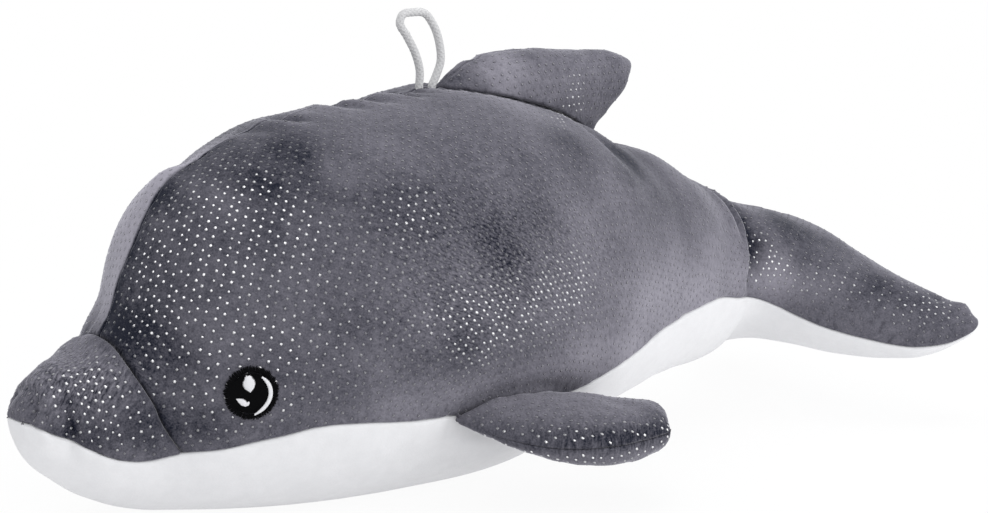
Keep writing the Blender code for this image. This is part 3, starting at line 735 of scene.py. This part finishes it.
def foilDots(name, sheet, seed):
    random = np.random.default_rng(seed)
    places = dotPlaces(sheet)
    i, j = places[:, 0].astype(int), places[:, 1].astype(int)
    s, t = places[:, 2:3], places[:, 3:4]
    points = sheet["points"]
    normals = gridNormals(points) * (-1 if sheet["flip"] else 1)
    down, across = points[i + 1, j] - points[i, j], points[i, j + 1] - points[i, j]
    centre = points[i, j] + s * down + t * across
    normal = normals[i, j]
    slant = np.array(lustre["slant"])
    first = slant - (normal @ slant)[:, None] * normal
    first /= np.linalg.norm(first, axis=-1, keepdims=True)
    drawn = (1 + spots(lustre["drawn"], centre[:, 0], centre[:, 2]))[:, None]
    first, second = first * drawn, np.cross(normal, first) / np.sqrt(drawn)
    turn = np.linspace(0, 2 * np.pi, lustre["sides"], endpoint=False)
    radius = lustre["radius"] * random.uniform(0.85, 1.15, len(places))[:, None, None]
    ring = np.cos(turn)[None, :, None] * first[:, None] + np.sin(turn)[None, :, None] * second[:, None]
    rim = centre[:, None] + radius * ring + normal[:, None] * lustre["rimRise"]
    top = centre[:, None] + normal[:, None] * lustre["rise"]
    under = centre[:, None] - normal[:, None] * lustre["sunk"]
    points = np.concatenate([rim, top, under], axis=1)
    sides = lustre["sides"]
    k = np.arange(sides)
    following = (k + 1) % sides
    tip = np.full(sides, sides)
    caps = np.concatenate([np.stack([k, following, tip], -1), np.stack([following, k, tip + 1], -1)])
    count = points.shape[1]
    faces = (caps[None] + np.arange(len(places))[:, None, None] * count).reshape(-1, 3)
    # painted highlights: dots inside the lustre patches are drawn as white glints, fewer by the head's
    # middle seam and none on the pale strip
    patch = spots(lustre["patches"], centre[:, 0], centre[:, 2]) * (1 - foreheadStrip(centre))
    patch *= 1 - 0.8 * dip(centre[:, 1], 0.011) * (centre[:, 0] < -0.03)
    lit = random.uniform(0, 1, len(places)) < 0.35 + 1.1 * patch
    paintedGlint = np.clip(patch * random.uniform(0.55, 1.3, len(places)) * np.where(lit, 1, 0.4), 0, 1)
    tone = napAndShadingTone(centre) - sheet["shade"][i, j]
    attributes = {"paintedGlint": np.repeat(paintedGlint, count), "napAndShadingTone": np.repeat(tone, count)}
    addMesh(name, points, faces, foil, attributes)
    print(name, len(places), "dots")


def greyPanel(name, node, sheet, dots, seed):
    panel = clothPanel(name, sheet, greyCloth)
    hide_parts(node)
    foilDots(dots, sheet, seed)


def tubeFaces(rows, columns):  # quads round a tube of rings
    index = np.arange(rows * columns).reshape(rows, columns)
    right = np.roll(index, -1, axis=1)
    return np.stack([index[:-1], right[:-1], right[1:], index[1:]], -1).reshape(-1, 4)


class FaceList(list):  # faces of unlike sizes
    def tolist(self):
        return list(self)


# finishes

velour = {
    "dark": (0.010, 0.012, 0.022),
    "light": (0.335, 0.322, 0.372),
    "middle": 0.32,
    "toneStrength": 0.38,
    "mottle": 0.36,
    "pile": 0.42,
    "streak": 0.62,
    "dent": 0.32,  # how dark the painted shade in the dip round a dot is
    "dentColour": (0.3, 0.3, 0.33),
    "dentReach": (0.25, 1.15),
    "combed": (0.42, 1.0, 1),  # the streaks are long the way the pile is combed
    "sheenRoughness": 0.32,
}


def greyVelour():
    finish = Finish("greyVelour")
    place = finish.stored("clothPlace")["Vector"]
    parts = finish.node("SeparateXYZ", {}, {0: place})
    pitch, rowPitch = cloth["dotPitch"], cloth["dotPitch"] * math.sqrt(3)

    def fromDot(shift):
        column = (parts["X"] / pitch + (0.5 - shift)).floor()
        row = (parts["Y"] / rowPitch + (0.5 - shift)).floor()
        strays = [(column * a + row * b + c).sine() * cloth["dotStray"] for a, b, c in cloth["strayTurns"]]
        across = parts["X"] - (column + shift) * pitch - strays[0]
        down = parts["Y"] - (row + shift) * rowPitch - strays[1]
        return (across * across + down * down) ** 0.5

    dent = 1 - fromDot(0).lesser(fromDot(0.5)).smooth(*velour["dentReach"])
    tone = finish.stored("napAndShadingTone")["Fac"]
    pile = finish.noise(1500, 2)
    mottle = finish.noise(260, 3, 0.6)
    combed = finish.stored("streakPlace")["Vector"]
    combed = finish.node("VectorMath", {"operation": "MULTIPLY"}, {0: combed, 1: velour["combed"]})[0]
    streak = (finish.noise(1.0, 2, 0.5, combed) - 0.5) * finish.stored("streaks")["Fac"]
    factor = velour["middle"] + tone * velour["toneStrength"]
    factor = factor + (mottle - 0.5) * velour["mottle"] + (pile - 0.5) * velour["pile"]
    factor = factor + streak * velour["streak"]
    colour = finish.blend(factor.limited(), rgba(velour["dark"]), rgba(velour["light"]))
    # painted shade in the dip round each dot
    shaded = finish.blend(1.0, colour, rgba(velour["dentColour"]), "MULTIPLY")
    colour = finish.blend(dent * velour["dent"], colour, shaded)
    height = pile * 0.35 + mottle * 0.45 - dent * 0.35 + streak * 0.8
    return finish.principled({
        "Base Color": colour,
        "Roughness": 0.85,
        "Specular IOR Level": 0.1,
        "Sheen Weight": 0.6,
        "Sheen Roughness": velour["sheenRoughness"],
        "Sheen Tint": rgba((0.86, 0.85, 0.93)),
        "Normal": finish.bump(height, 0.7, 0.0004),
    })


def whiteVelour():
    finish = Finish("whiteVelour")
    pile = finish.noise(1300, 2)
    mottle = finish.noise(160, 3, 0.6)
    factor = (0.5 + (mottle - 0.5) * 0.9 + (pile - 0.5) * 0.4).limited()
    colour = finish.blend(factor, rgba((0.72, 0.72, 0.735)), rgba((0.82, 0.82, 0.835)))
    return finish.principled({
        "Base Color": colour,
        "Roughness": 0.9,
        "Specular IOR Level": 0.1,
        "Sheen Weight": 0.2,
        "Sheen Roughness": 0.4,
        "Normal": finish.bump(pile * 0.5 + mottle * 0.5, 0.4, 0.0003),
    })


def silverFoil():
    finish = Finish("silverFoil")
    paintedGlint = finish.stored("paintedGlint")["Fac"]
    tone = finish.stored("napAndShadingTone")["Fac"]
    factor = velour["middle"] + tone * (0.7 * velour["toneStrength"])
    dull = finish.blend(factor.limited(), rgba(velour["dark"]), rgba(velour["light"]))
    # painted glint: glinting dots are painted near white, the others take the pile's colour with its
    # painted light and shade
    colour = finish.blend(paintedGlint.smooth(0.0, 0.85), dull, rgba((0.95, 0.95, 0.97)))
    return finish.principled({
        "Base Color": colour,
        "Metallic": paintedGlint.smooth(0.0, 0.4) * 0.85,
        "Roughness": 0.55 - paintedGlint * 0.2,
        "Specular IOR Level": 0.3,
        "Sheen Weight": 0.4,
        "Sheen Roughness": velour["sheenRoughness"],
    })


def thread(name, dark, light, roughness, specular):
    finish = Finish(name)
    fine = finish.noise(2600, 1)
    colour = finish.blend(fine, rgba(dark), rgba(light))
    return finish.principled({
        "Base Color": colour,
        "Roughness": roughness,
        "Specular IOR Level": specular,
        "Normal": finish.bump(fine, 0.3, 0.0001),
    })


def fibreFilling():
    finish = Finish("fibreFilling")
    tufts = finish.noise(120, 5, 0.7)
    colour = finish.blend(tufts, rgba((0.72, 0.72, 0.70)), rgba((0.93, 0.93, 0.92)))
    normal = finish.bump(tufts, 0.8, 0.002)
    return finish.principled({"Base Color": colour, "Roughness": 1.0, "Normal": normal})


greyCloth, whiteCloth, foil, fibre = greyVelour(), whiteVelour(), silverFoil(), fibreFilling()
blackThread = thread("blackThread", (0.001, 0.001, 0.0012), (0.004, 0.004, 0.005), 0.7, 0.04)
whiteThread = thread("whiteThread", (0.70, 0.70, 0.73), (0.86, 0.86, 0.88), 0.6, 0.3)
whiteCord = thread("whiteCord", (0.46, 0.46, 0.47), (0.76, 0.76, 0.76), 0.8, 0.2)
print("finishes made")


# hang loop, a free cord that stands up from the seam of the back

loop = {
    # places back from the fin's front and their heights
    "route": ((-10, 0), (-9.6, 7), (-12, 15), (-16, 22), (-19.6, 28.5), (-18.4, 31.0), (-13, 31.9),
              (-7, 31.2), (-2.8, 26.5), (0.6, 18), (1.2, 10.5), (-1.4, 4), (-3.4, 0)),
    "finFront": 49,
    "diameter": 0.0033,
    "length": 0.080,
    "sunk": 0.004,  # how far its ends go into the seam
    "step": 0.00035,
    "around": 28,
    "strands": 5,
    "crossing": 0.0021,
    "relief": 0.18,
}


def loopPath():
    route = np.array([(x, 0, height) for x, height in loop["route"]]) * mm
    route[:, 0] += along * loop["finFront"]
    ground = backHeight(route[:, 0], 0.0)
    route[:, 2] += ground[0] + (ground[-1] - ground[0]) * np.linspace(0, 1, len(route))
    low = np.array([0, 0, loop["sunk"]])
    route = np.concatenate([route[:1] - low, route, route[-1:] - low])
    distance = np.concatenate([[0], np.cumsum(np.linalg.norm(np.diff(route, axis=0), axis=1))])
    at = np.arange(0, distance[-1], loop["step"])
    return np.column_stack([through(np.column_stack([distance, route[:, k]]), at) for k in range(3)])


def hangLoop():
    path = loopPath()
    tangent = np.gradient(path, axis=0)
    tangent /= np.linalg.norm(tangent, axis=1, keepdims=True)
    sideways = np.array([0, 1.0, 0])
    upright = np.cross(tangent, sideways)
    turn = np.linspace(0, 2 * np.pi, loop["around"], endpoint=False)
    distance = np.arange(len(path))[:, None] * loop["step"] * 2 * np.pi / loop["crossing"] / loop["strands"]
    weave = np.maximum(
        np.abs(np.cos(loop["strands"] / 2 * (turn + distance))),
        np.abs(np.cos(loop["strands"] / 2 * (turn - distance))),
    )
    radius = loop["diameter"] / 2 * (1 + loop["relief"] * (weave - 0.8) * 2)
    ring = np.cos(turn)[None, :, None] * sideways + np.sin(turn)[None, :, None] * upright[:, None]
    points = path[:, None] + radius[..., None] * ring
    around = np.arange(loop["around"])
    ends = [around[::-1].tolist(), (around + (len(path) - 1) * len(around)).tolist()]
    faces = FaceList(tubeFaces(len(path), len(around)).tolist() + ends)
    piece = addMesh("hangLoop", points, faces, whiteCord)
    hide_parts("hang_loop")


hangLoop()
print("hang loop made")


# body panels

def midline(points):  # outward directions, to tell the cloth's outer face
    middle = np.stack([points[..., 0], np.zeros(points.shape[:2]), np.full(points.shape[:2], 0.07)], -1)
    return points - middle


def backSheet(side):
    start = along * folds["snoutSeamSide"]
    rear = tailX - roundedEnd(body["tailRound"])[::-1]
    frontEnds = np.array(cloth["edgeSteps"]) * mm
    middle = np.arange(frontEnds[-1], rear[0] - start - 0.001, cloth["spacing"])
    spine = np.concatenate([frontEnds[:-1], middle])
    columns = spread(0.135)[None]
    low = seamAngle(start)
    seam = snoutSeam(low + (np.pi / 2 - low) * columns)
    straight = (rear[0] - seam) / (rear[0] - start)
    front = seam + spine[:, None] * straight
    x = np.concatenate([front, np.repeat(rear[:, None], columns.shape[1], axis=1)])
    lowest = seamAngle(x)
    angle = lowest + (np.pi / 2 - lowest) * columns
    if side > 0:
        angle = np.pi - angle
    points = bodyPoint(x, angle)
    fromSeam = edgeDistances(points)[0]
    depth, shade = bodyFolds(points, angle)
    high = 0.5 + 0.5 * ease((points[..., 2] - 0.055) / 0.025)
    depth += folds["headDip"] * np.exp(-fromSeam / folds["headDipReach"]) * high
    # painted shade in the hollow behind the beak's seam
    shade = shade + napAndShading["behindBeak"] * np.exp(-fromSeam / 0.007) * high
    radii = 0.0022, 0.0016, 0.0015, 0.0010
    return makeSheet(points, radii, depth, midline(points), 0.00035, 7 + side, shade)


def snoutSheet():
    columns = spread(0.120)[None]
    back = np.arange(body["noseRound"] + cloth["spacing"], folds["snoutLength"], cloth["spacing"])
    shares = np.concatenate([roundedEnd(body["noseRound"]), back]) / folds["snoutLength"]
    ends = 1 - np.array(cloth["edgeSteps"])[:-1][::-1] * mm / folds["snoutLength"]
    shares = np.concatenate([shares[shares < ends[0] - 0.02], ends])[:, None]
    angle = np.pi * columns
    for _ in range(2):
        x = noseX + (snoutSeam(angle) - noseX) * shares
        low = seamAngle(x)
        angle = low + (np.pi - 2 * low) * columns
    points = bodyPoint(x, angle)
    fromSeam = edgeDistances(points)[1]
    flank = ease(points[..., 1] ** 2 / 0.018**2)
    depth, shade = bodyFolds(points, angle)
    depth -= folds["snoutPuff"] * dip(fromSeam - 0.007, 0.006) * flank
    depth += folds["snoutSlope"] * dip(points[..., 0] + 0.128, 0.009) * dip(points[..., 1], 0.024)
    sheet = makeSheet(points, (0.0010, 0.0022, 0.0015, 0.0015), depth, midline(points), 0.0003, 11, shade)
    sheet["start"] = (-1, columns.shape[1] // 2)
    sheet["streakTurn"] = napAndShading["snoutStreakTurn"]
    return sheet


def bellySheet():
    front = noseX + roundedEnd(body["noseRound"])
    rear = tailX - roundedEnd(body["tailRound"])[::-1]
    middle = np.arange(front[-1], rear[0] - 0.001, 1.3 * cloth["spacing"])
    x = np.concatenate([front[:-1], middle, rear])[:, None]
    low = seamAngle(x)
    angle = low - (np.pi + 2 * low) * spread(0.190, 0.0022)[None]
    points = bodyPoint(x, angle)
    depth = bodyFolds(points, angle)[0] * ease((points[..., 2] - 0.002) / 0.015)
    return makeSheet(points, (0.0010, 0.0016, 0.0015, 0.0015), depth, midline(points), 0.0003, 13)


def bodyPanels():
    for name, side, seed in (("Left", -1, 4), ("Right", 1, 5)):
        node = "back_panel_" + name.lower()
        greyPanel("back" + name, node, backSheet(side), "backDots" + name, seed)
    greyPanel("snout", "snout_panel", snoutSheet(), "snoutDots", 3)
    panel = clothPanel("belly", bellySheet(), whiteCloth)
    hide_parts("belly_panel")


def filling(name, rings, node):
    rows, columns = rings.shape[:2]
    around = np.arange(columns)
    ends = [around.tolist(), (around + (rows - 1) * columns)[::-1].tolist()]
    quads = tubeFaces(rows, columns)[:, [0, 3, 2, 1]].tolist()
    piece = addMesh(name, rings, FaceList(quads + ends), fibre)
    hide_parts(node)


def bodyFilling():
    x = np.linspace(noseX + 0.003, tailX - 0.003, 90)[:, None]
    angle = np.linspace(0, 2 * np.pi, 48, endpoint=False)[None]
    filling("bodyFilling", bodyPoint(x, angle, 0.0085), "body_stuffing")


bodyPanels()
bodyFilling()
print("body panels made")


# fin and flippers

def finSeat(points):
    seat = points.copy()
    seat[..., 2] = backHeight(points[..., 0], points[..., 1])
    seat[..., 2] -= behindFin(seat)
    return seat


def flipperSeat(points):
    seat = points.copy()
    seat[..., 1] = np.sign(points[..., 1]) * flankWidth(points[..., 0], points[..., 2])
    return seat


fin = {
    "front": ((49, 0, 164), (62, 0, 172.5), (79, 0, 176), (98, 0, 175), (118, 0, 172.4), (137, 0, 172.2),
              (151, 0, 168.9)),
    "rear": ((129, 0, 138), (133, 0, 142), (140, 0, 146.5), (146, 0, 152), (153, 0, 161.5)),
    "thickness": 0.032,
    "taper": (1, 0.94, 0.81, 0.69, 0.62),
    "round": 0.24,
    "pinch": 0.2,  # how much its root narrows to a point at both ends
    "normal": (0.0, -1.0, 0.0),
    "seat": finSeat,
    "girth": 0.085,  # length of a face from its front edge to its rear edge
    "gathers": (46, 1.5, 9, 0.10),  # how many, their unevenness and its waves, how far they reach up
    "foldDepth": 0.0005,
    "lumps": (0.03, 0.012, 61),  # sizes and seed
    "nicks": ((0.069, 0.172),),  # small dents: X and Z
}
flipper = {
    "front": ((8, 66, 37.5), (20, 89, 31.4), (34, 106, 29.2), (53, 116, 29.2), (75, 119, 29.8)),
    "rear": ((70, 66, 36), (81, 73, 33.4), (91, 83, 31.4), (95.5, 94.5, 30), (92.5, 106.5, 29.6)),
    "thickness": 0.0215,
    "taper": (0.74, 0.98, 1.06, 1.02, 0.90),
    "round": 0.32,
    "pinch": 0.8,
    "normal": (0.0, 0.0, 1.0),
    "seat": flipperSeat,
    "girth": 0.065,
    "gathers": (30, 1.2, 7, 0.09),
    "foldDepth": 0.0004,
    "lumps": (0.025, 0.010, 71),
    "nicks": (),
}


def paddlePoint(form, reach, angle, side, inset):  # reach from root to tip, angle round the section
    scales = np.array([along, side * along, upward])
    front, rear = (np.array(form[edge], float) * scales for edge in ("front", "rear"))
    reach, angle = np.broadcast_arrays(np.asarray(reach, float), np.asarray(angle, float))

    def atReach(table, column):
        return through(np.column_stack([np.linspace(0, 1, len(table)), table]), reach, column)

    front, rear = (np.stack([atReach(edge, k) for k in (1, 2, 3)], -1) for edge in (front, rear))
    half = form["thickness"] / 2 * atReach(form["taper"], 1)
    rounding = quarterRound((1 - reach) / form["round"])
    middle, chord = (front + rear) / 2, (front - rear) / 2
    across, rise = np.cos(angle), np.sin(angle)
    out = np.sign(across) * np.abs(across) ** body["widthPower"]
    lift = np.sign(rise) * np.abs(rise) ** (body["backPower"] + form["pinch"] * (1 - reach) ** 3)
    shorter = (1 - inset / np.linalg.norm(chord, axis=-1)) * rounding * out
    normal = np.array(form["normal"])
    return middle + chord * shorter[..., None] + normal * ((half - inset) * rounding * lift)[..., None]


def seated(form, reach, angle, side, inset=0.0):  # with the root carried onto the body
    points = paddlePoint(form, reach, angle, side, inset)
    root = paddlePoint(form, np.zeros_like(reach), angle, side, inset)
    return points + (form["seat"](root) - root) * ((1 - reach) ** 2)[..., None]


def paddleFolds(form, points, reach, angle):
    share = np.abs(angle) / np.pi  # 0 at the front edge, 1 at the rear edge
    count, sway, waves, fade = form["gathers"]
    gathers = np.sin(share * count + sway * np.sin(share * waves)) * np.exp(-reach / fade)
    large, small, seed = form["lumps"]
    depth = form["foldDepth"] * gathers + form["foldDepth"] * lumps(points, large, seed)
    depth += form["foldDepth"] / 2 * lumps(points, small, seed + 1)
    for a, c in form["nicks"]:
        depth += 0.0020 * (dip(points[..., 0] - a, 0.003) * dip(points[..., 2] - c, 0.003))
    return depth


def paddleSheet(form, face, side, seed):
    tip = 1 - form["round"] * (1 - np.sin(np.linspace(0, np.pi / 2, 16)))
    ends = np.concatenate([[0, 0.004, 0.010, 0.018, 0.028], np.linspace(0.04, 1 - form["round"], 34)])
    reach = np.concatenate([ends, tip[1:]])[:, None]
    angle = face * np.pi * spread(form["girth"], 0.0013)[None]
    reach, angle = np.broadcast_arrays(reach, angle)
    points = seated(form, reach, angle, side)
    outward = np.broadcast_to(np.array(form["normal"]) * face, points.shape)
    depth = paddleFolds(form, points, reach, angle)
    return makeSheet(points, (0.0014, 0, 0.0013, 0.0013), depth, outward, 0.0003, seed)


def paddleFilling(name, form, side, node):
    tip = 1 - form["round"] * np.linspace(0.8, 0.3, 4)
    reach = np.concatenate([np.linspace(0, 1 - form["round"], 10), tip])
    angle = np.linspace(0, 2 * np.pi, 24, endpoint=False)[None]
    reach, angle = np.broadcast_arrays(reach[:, None], angle)
    filling(name, seated(form, reach, angle, side, 0.0050), node)


def finPanels():
    for name, face in (("Left", 1), ("Right", -1)):
        sheet = paddleSheet(fin, face, 1, 50 + face)
        greyPanel("fin" + name, "dorsal_fin_" + name.lower(), sheet, "finDots" + name, 60 + face)
    paddleFilling("finFilling", fin, 1, "dorsal_fin_stuffing")


def flipperPanels():
    for name, side in (("Left", -1), ("Right", 1)):
        node = "flipper_" + name.lower()
        for level, face in (("Upper", 1), ("Under", -1)):
            sheet = paddleSheet(flipper, face, side, 70 + face + 3 * side)
            part = f"{node}_{level.lower()}"
            dots, seed = "flipperDots" + name + level, 80 + face + 3 * side
            greyPanel("flipper" + name + level, part, sheet, dots, seed)
        paddleFilling("flipperFilling" + name, flipper, side, node + "_stuffing")


finPanels()
flipperPanels()
print("fin and flippers made")


# embroidered eyes

eye = {
    "radius": eyePlace["radius"],
    "border": 0.0026,  # how wide the ring of stitches at the rim is
    "borderStitches": 150,
    "ragged": 0.00038,
    "pitch": 0.00034,
    "threadHeight": 0.00020,
    "lift": 0.0004,
    "crown": 0.0004,
    # white shapes in shares of the radius, back and up from the middle, as outlines that are filled
    "blob": ((-0.25, 0.62), (-0.18, 0.66), (-0.06, 0.67), (0.02, 0.64), (0.04, 0.57), (0.12, 0.50),
             (0.14, 0.36), (0.09, 0.22), (0.00, 0.12), (-0.06, 0.05), (-0.15, 0.10), (-0.27, 0.18),
             (-0.34, 0.30), (-0.33, 0.43), (-0.27, 0.52)),
    "leaf": ((-0.58, -0.16), (-0.45, -0.15), (-0.31, -0.17), (-0.22, -0.24), (-0.19, -0.31), (-0.12, -0.26),
             (-0.09, -0.32), (-0.15, -0.44), (-0.26, -0.47), (-0.40, -0.42), (-0.50, -0.30)),
    "arc": {"radius": 0.69, "half": 0.085, "from": -82, "to": 56, "flare": 0.10},
}


def eyeFrame(side):
    def onFlank(x, z):
        return np.array([x, side * flankWidth(x, z), z])

    x, z, step = along * eyePlace["x"], upward * eyePlace["z"], eye["radius"]
    backward = onFlank(x + step, z) - onFlank(x - step, z)
    backward /= np.linalg.norm(backward)
    outward = np.cross(backward, onFlank(x, z + step) - onFlank(x, z - step))
    outward *= side * np.sign(outward[1]) / np.linalg.norm(outward)
    up = np.cross(outward, backward)
    return onFlank(x, z), backward, up * np.sign(up[2]), outward


def onEye(side, flat, lift):  # flat places back and up from the eye's middle, raised off the cloth
    middle, backward, up, outward = eyeFrame(side)
    points = middle + flat[..., :1] * backward + flat[..., 1:] * up
    points[..., 1] = side * flankWidth(points[..., 0], points[..., 2])
    return points + outward * np.asarray(lift)[..., None]


def stitches(name, side, starts, ends, base, width, finish, slot):
    # each stitch is a thin rounded strand from its start to its end, higher in the middle
    steps, sides = 9, 6
    share = np.linspace(0, 1, steps)
    starts, ends = np.asarray(starts, float), np.asarray(ends, float)
    length = np.linalg.norm(ends - starts, axis=1)
    keep = length > 0.0002
    starts, ends, length = starts[keep], ends[keep], length[keep]
    direction = (ends - starts) / length[:, None]
    across = np.stack([-direction[:, 1], direction[:, 0]], -1)
    line = starts[:, None] + (ends - starts)[:, None] * share[None, :, None]
    fullness = np.clip(1 - (2 * share - 1) ** 6, 0.12, 1)
    turn = np.linspace(0, 2 * np.pi, sides, endpoint=False)
    halfWidth = np.cos(turn)[None, None, :, None] * width / 2 * fullness[None, :, None, None]
    flat = line[:, :, None] + across[:, None, None] * halfWidth
    arch = np.minimum(eye["crown"], 0.18 * length)[:, None] * np.sin(np.pi * share)[None] ** 0.7
    bulge = eye["threadHeight"] * np.sin(turn)[None, None] * fullness[None, :, None]
    lift = base + arch[:, :, None] + bulge
    start = np.arange(len(starts))[:, None, None] * steps * sides
    faces = (tubeFaces(steps, sides)[None] + start).reshape(-1, 4)
    around = np.arange(sides)
    caps = np.stack([around[::-1], around + (steps - 1) * sides])
    caps = (caps[None] + start).reshape(-1, sides)
    if side < 0:
        faces, caps = faces[:, ::-1], caps[:, ::-1]
    return addMesh(name, onEye(side, flat, lift), FaceList(faces.tolist() + caps.tolist()), finish)


def filled(outline, pitch, slope):  # parallel stitches that fill an outline, along a direction
    outline = np.asarray(outline, float)
    c, s = math.cos(math.radians(slope)), math.sin(math.radians(slope))
    turned = outline @ np.array([[c, -s], [s, c]])
    following = np.roll(turned, -1, axis=0)
    starts, ends = [], []
    for level in np.arange(turned[:, 1].min() + pitch / 2, turned[:, 1].max(), pitch):
        low, high = turned[:, 1], following[:, 1]
        crosses = (low > level) != (high > level)
        share = (level - low[crosses]) / (high - low)[crosses]
        at = turned[crosses, 0] + share * (following - turned)[crosses, 0]
        at = np.sort(at)
        for left, right in zip(at[::2], at[1::2]):
            starts.append((left, level))
            ends.append((right, level))
    back = np.array([[c, s], [-s, c]])
    return np.array(starts) @ back, np.array(ends) @ back


def circle(radius, count=90):
    turn = np.linspace(0, 2 * np.pi, count, endpoint=False)
    return radius * np.stack([np.cos(turn), np.sin(turn)], -1)


def arcOutline():
    arc = eye["arc"]
    turn = np.radians(np.linspace(arc["from"], arc["to"], 30))
    place = np.linspace(-1, 1, 30)
    taper = np.sqrt(np.clip(1 - place**4, 0.25, 1)) * arc["half"]
    middle = arc["radius"] + arc["flare"] * np.clip(-place, 0, 1) ** 3
    ring = np.stack([np.cos(turn), np.sin(turn)], -1)
    return ring * (middle + taper)[:, None], ring * (middle - taper)[:, None]


def addEye(name, side):
    random = np.random.default_rng(90 + side)
    prefix = "eye" + name
    node = "eye_" + name.lower()
    inner = eye["radius"] - eye["border"]
    starts, ends = filled(circle(inner + 0.0012), eye["pitch"], 90)
    turn = np.linspace(0, 2 * np.pi, eye["borderStitches"], endpoint=False)
    turn = turn + random.normal(0, 0.008, len(turn))
    rim = np.stack([np.cos(turn), np.sin(turn)], -1)
    clumps = 0.6 * np.sin(turn * 23 + 1) + 0.4 * np.sin(turn * 37)
    reach = eye["radius"] + eye["ragged"] * (random.uniform(-1, 1, len(turn)) + 0.6 * clumps)
    starts = np.concatenate([starts, rim * inner])
    ends = np.concatenate([ends, rim * reach[:, None]])
    width = 1.35 * eye["pitch"]
    disc = stitches(prefix, side, starts, ends, eye["lift"], width, blackThread, "black_thread")
    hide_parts(node)
    base = eye["lift"] + eye["crown"] + 0.0002
    for part, slope, kind in (("blob", 20, "round"), ("leaf", 62, "leaf")):
        outline = np.array(eye[part]) * eye["radius"]
        glint = stitches(prefix + part.capitalize(), side, *filled(outline, eye["pitch"], slope), base,
                         1.3 * eye["pitch"], whiteThread, "white_thread")
        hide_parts(f"{node}_glint_{kind}")
    outer, inner = arcOutline()
    share = np.linspace(0, 1, 56)
    old = np.linspace(0, 1, len(outer))
    rims = [
        np.stack([np.interp(share, old, edge[:, k]) for k in (0, 1)], -1) * eye["radius"]
        for edge in (outer, inner)
    ]
    glint = stitches(prefix + "Arc", side, *rims, base, 1.3 * eye["pitch"], whiteThread, "white_thread")
    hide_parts(f"{node}_glint_arc")


addEye("Left", -1)
addEye("Right", 1)
print("eyes made")


# floor, background and lights

stage = {
    "floorSize": 8,
    "fadeFrom": 0.30,
    "fadeTo": 0.75,
    "glow": 0.92,  # how much of the table is plain white, which keeps its shadow faint
    "underglow": 0.42,  # how white the table is to the rays that light the toy from below
    "skyLight": 0.62,
    "lamps": (
        # name, place, size, power
        ("keyLamp", (-0.9, -1.6, 1.4), 1.4, 10),
        ("topLamp", (0.1, 0.3, 1.9), 1.6, 17),
        ("fillLamp", (1.5, -1.6, 0.6), 1.5, 20),
    ),
}


def seenDirectly(finish):
    rays = finish.node("LightPath")
    return (rays["Is Camera Ray"] + rays["Is Glossy Ray"] + rays["Is Transmission Ray"]).limited()


def addFloor():
    finish = Finish("whiteTable")
    place = finish.node("TexCoord")["Object"]
    away = finish.node("VectorMath", {"operation": "LENGTH"}, {0: place})["Value"]
    grain = finish.noise(40, 3)
    colour = finish.blend(grain, rgba((0.90, 0.90, 0.905)), rgba((0.93, 0.93, 0.935)))
    surface = finish.node("BsdfDiffuse", {}, {"Color": colour})[0]
    white = finish.node("Emission", {}, {"Color": rgba((1, 1, 1)), "Strength": 1.0})[0]
    fade = stage["glow"] + away.smooth(stage["fadeFrom"], stage["fadeTo"]) * (1 - stage["glow"])
    seen = seenDirectly(finish)
    fade = fade * seen + (1 - seen) * stage["underglow"]
    shader = finish.node("MixShader", {}, {0: fade, 1: surface, 2: white})[0]
    half = stage["floorSize"] / 2
    mesh = bpy.data.meshes.new("floor")
    corners = [(-half, -half, 0), (half, -half, 0), (half, half, 0), (-half, half, 0)]
    mesh.from_pydata(corners, [], [(0, 1, 2, 3)])
    mesh.materials.append(finish.output(shader))
    floor = addObject("floor", mesh)
    floor.location = (0.07, 0, -0.0003)


def addWorld():
    world = bpy.data.worlds.new("studio")
    bpy.context.scene.world = world
    finish = Finish("studio", world)
    sky = {"Color": rgba((0.97, 0.98, 1)), "Strength": stage["skyLight"]}
    light = finish.node("Background", {}, sky)[0]
    white = finish.node("Background", {}, {"Color": rgba((1, 1, 1)), "Strength": 1.0})[0]
    shader = finish.node("MixShader", {}, {0: seenDirectly(finish), 1: light, 2: white})[0]
    finish.output(shader, "OutputWorld")


def addLamps():
    for name, place, size, power in stage["lamps"]:
        lamp = addObject(name, bpy.data.lights.new(name, "AREA"))
        lamp.data.size = size
        lamp.data.energy = power
        lamp.location = place
        away = Vector(place) - Vector(view["target"])
        lamp.rotation_euler = away.to_track_quat("Z", "Y").to_euler()


addFloor()
addWorld()
addLamps()
print("stage made")
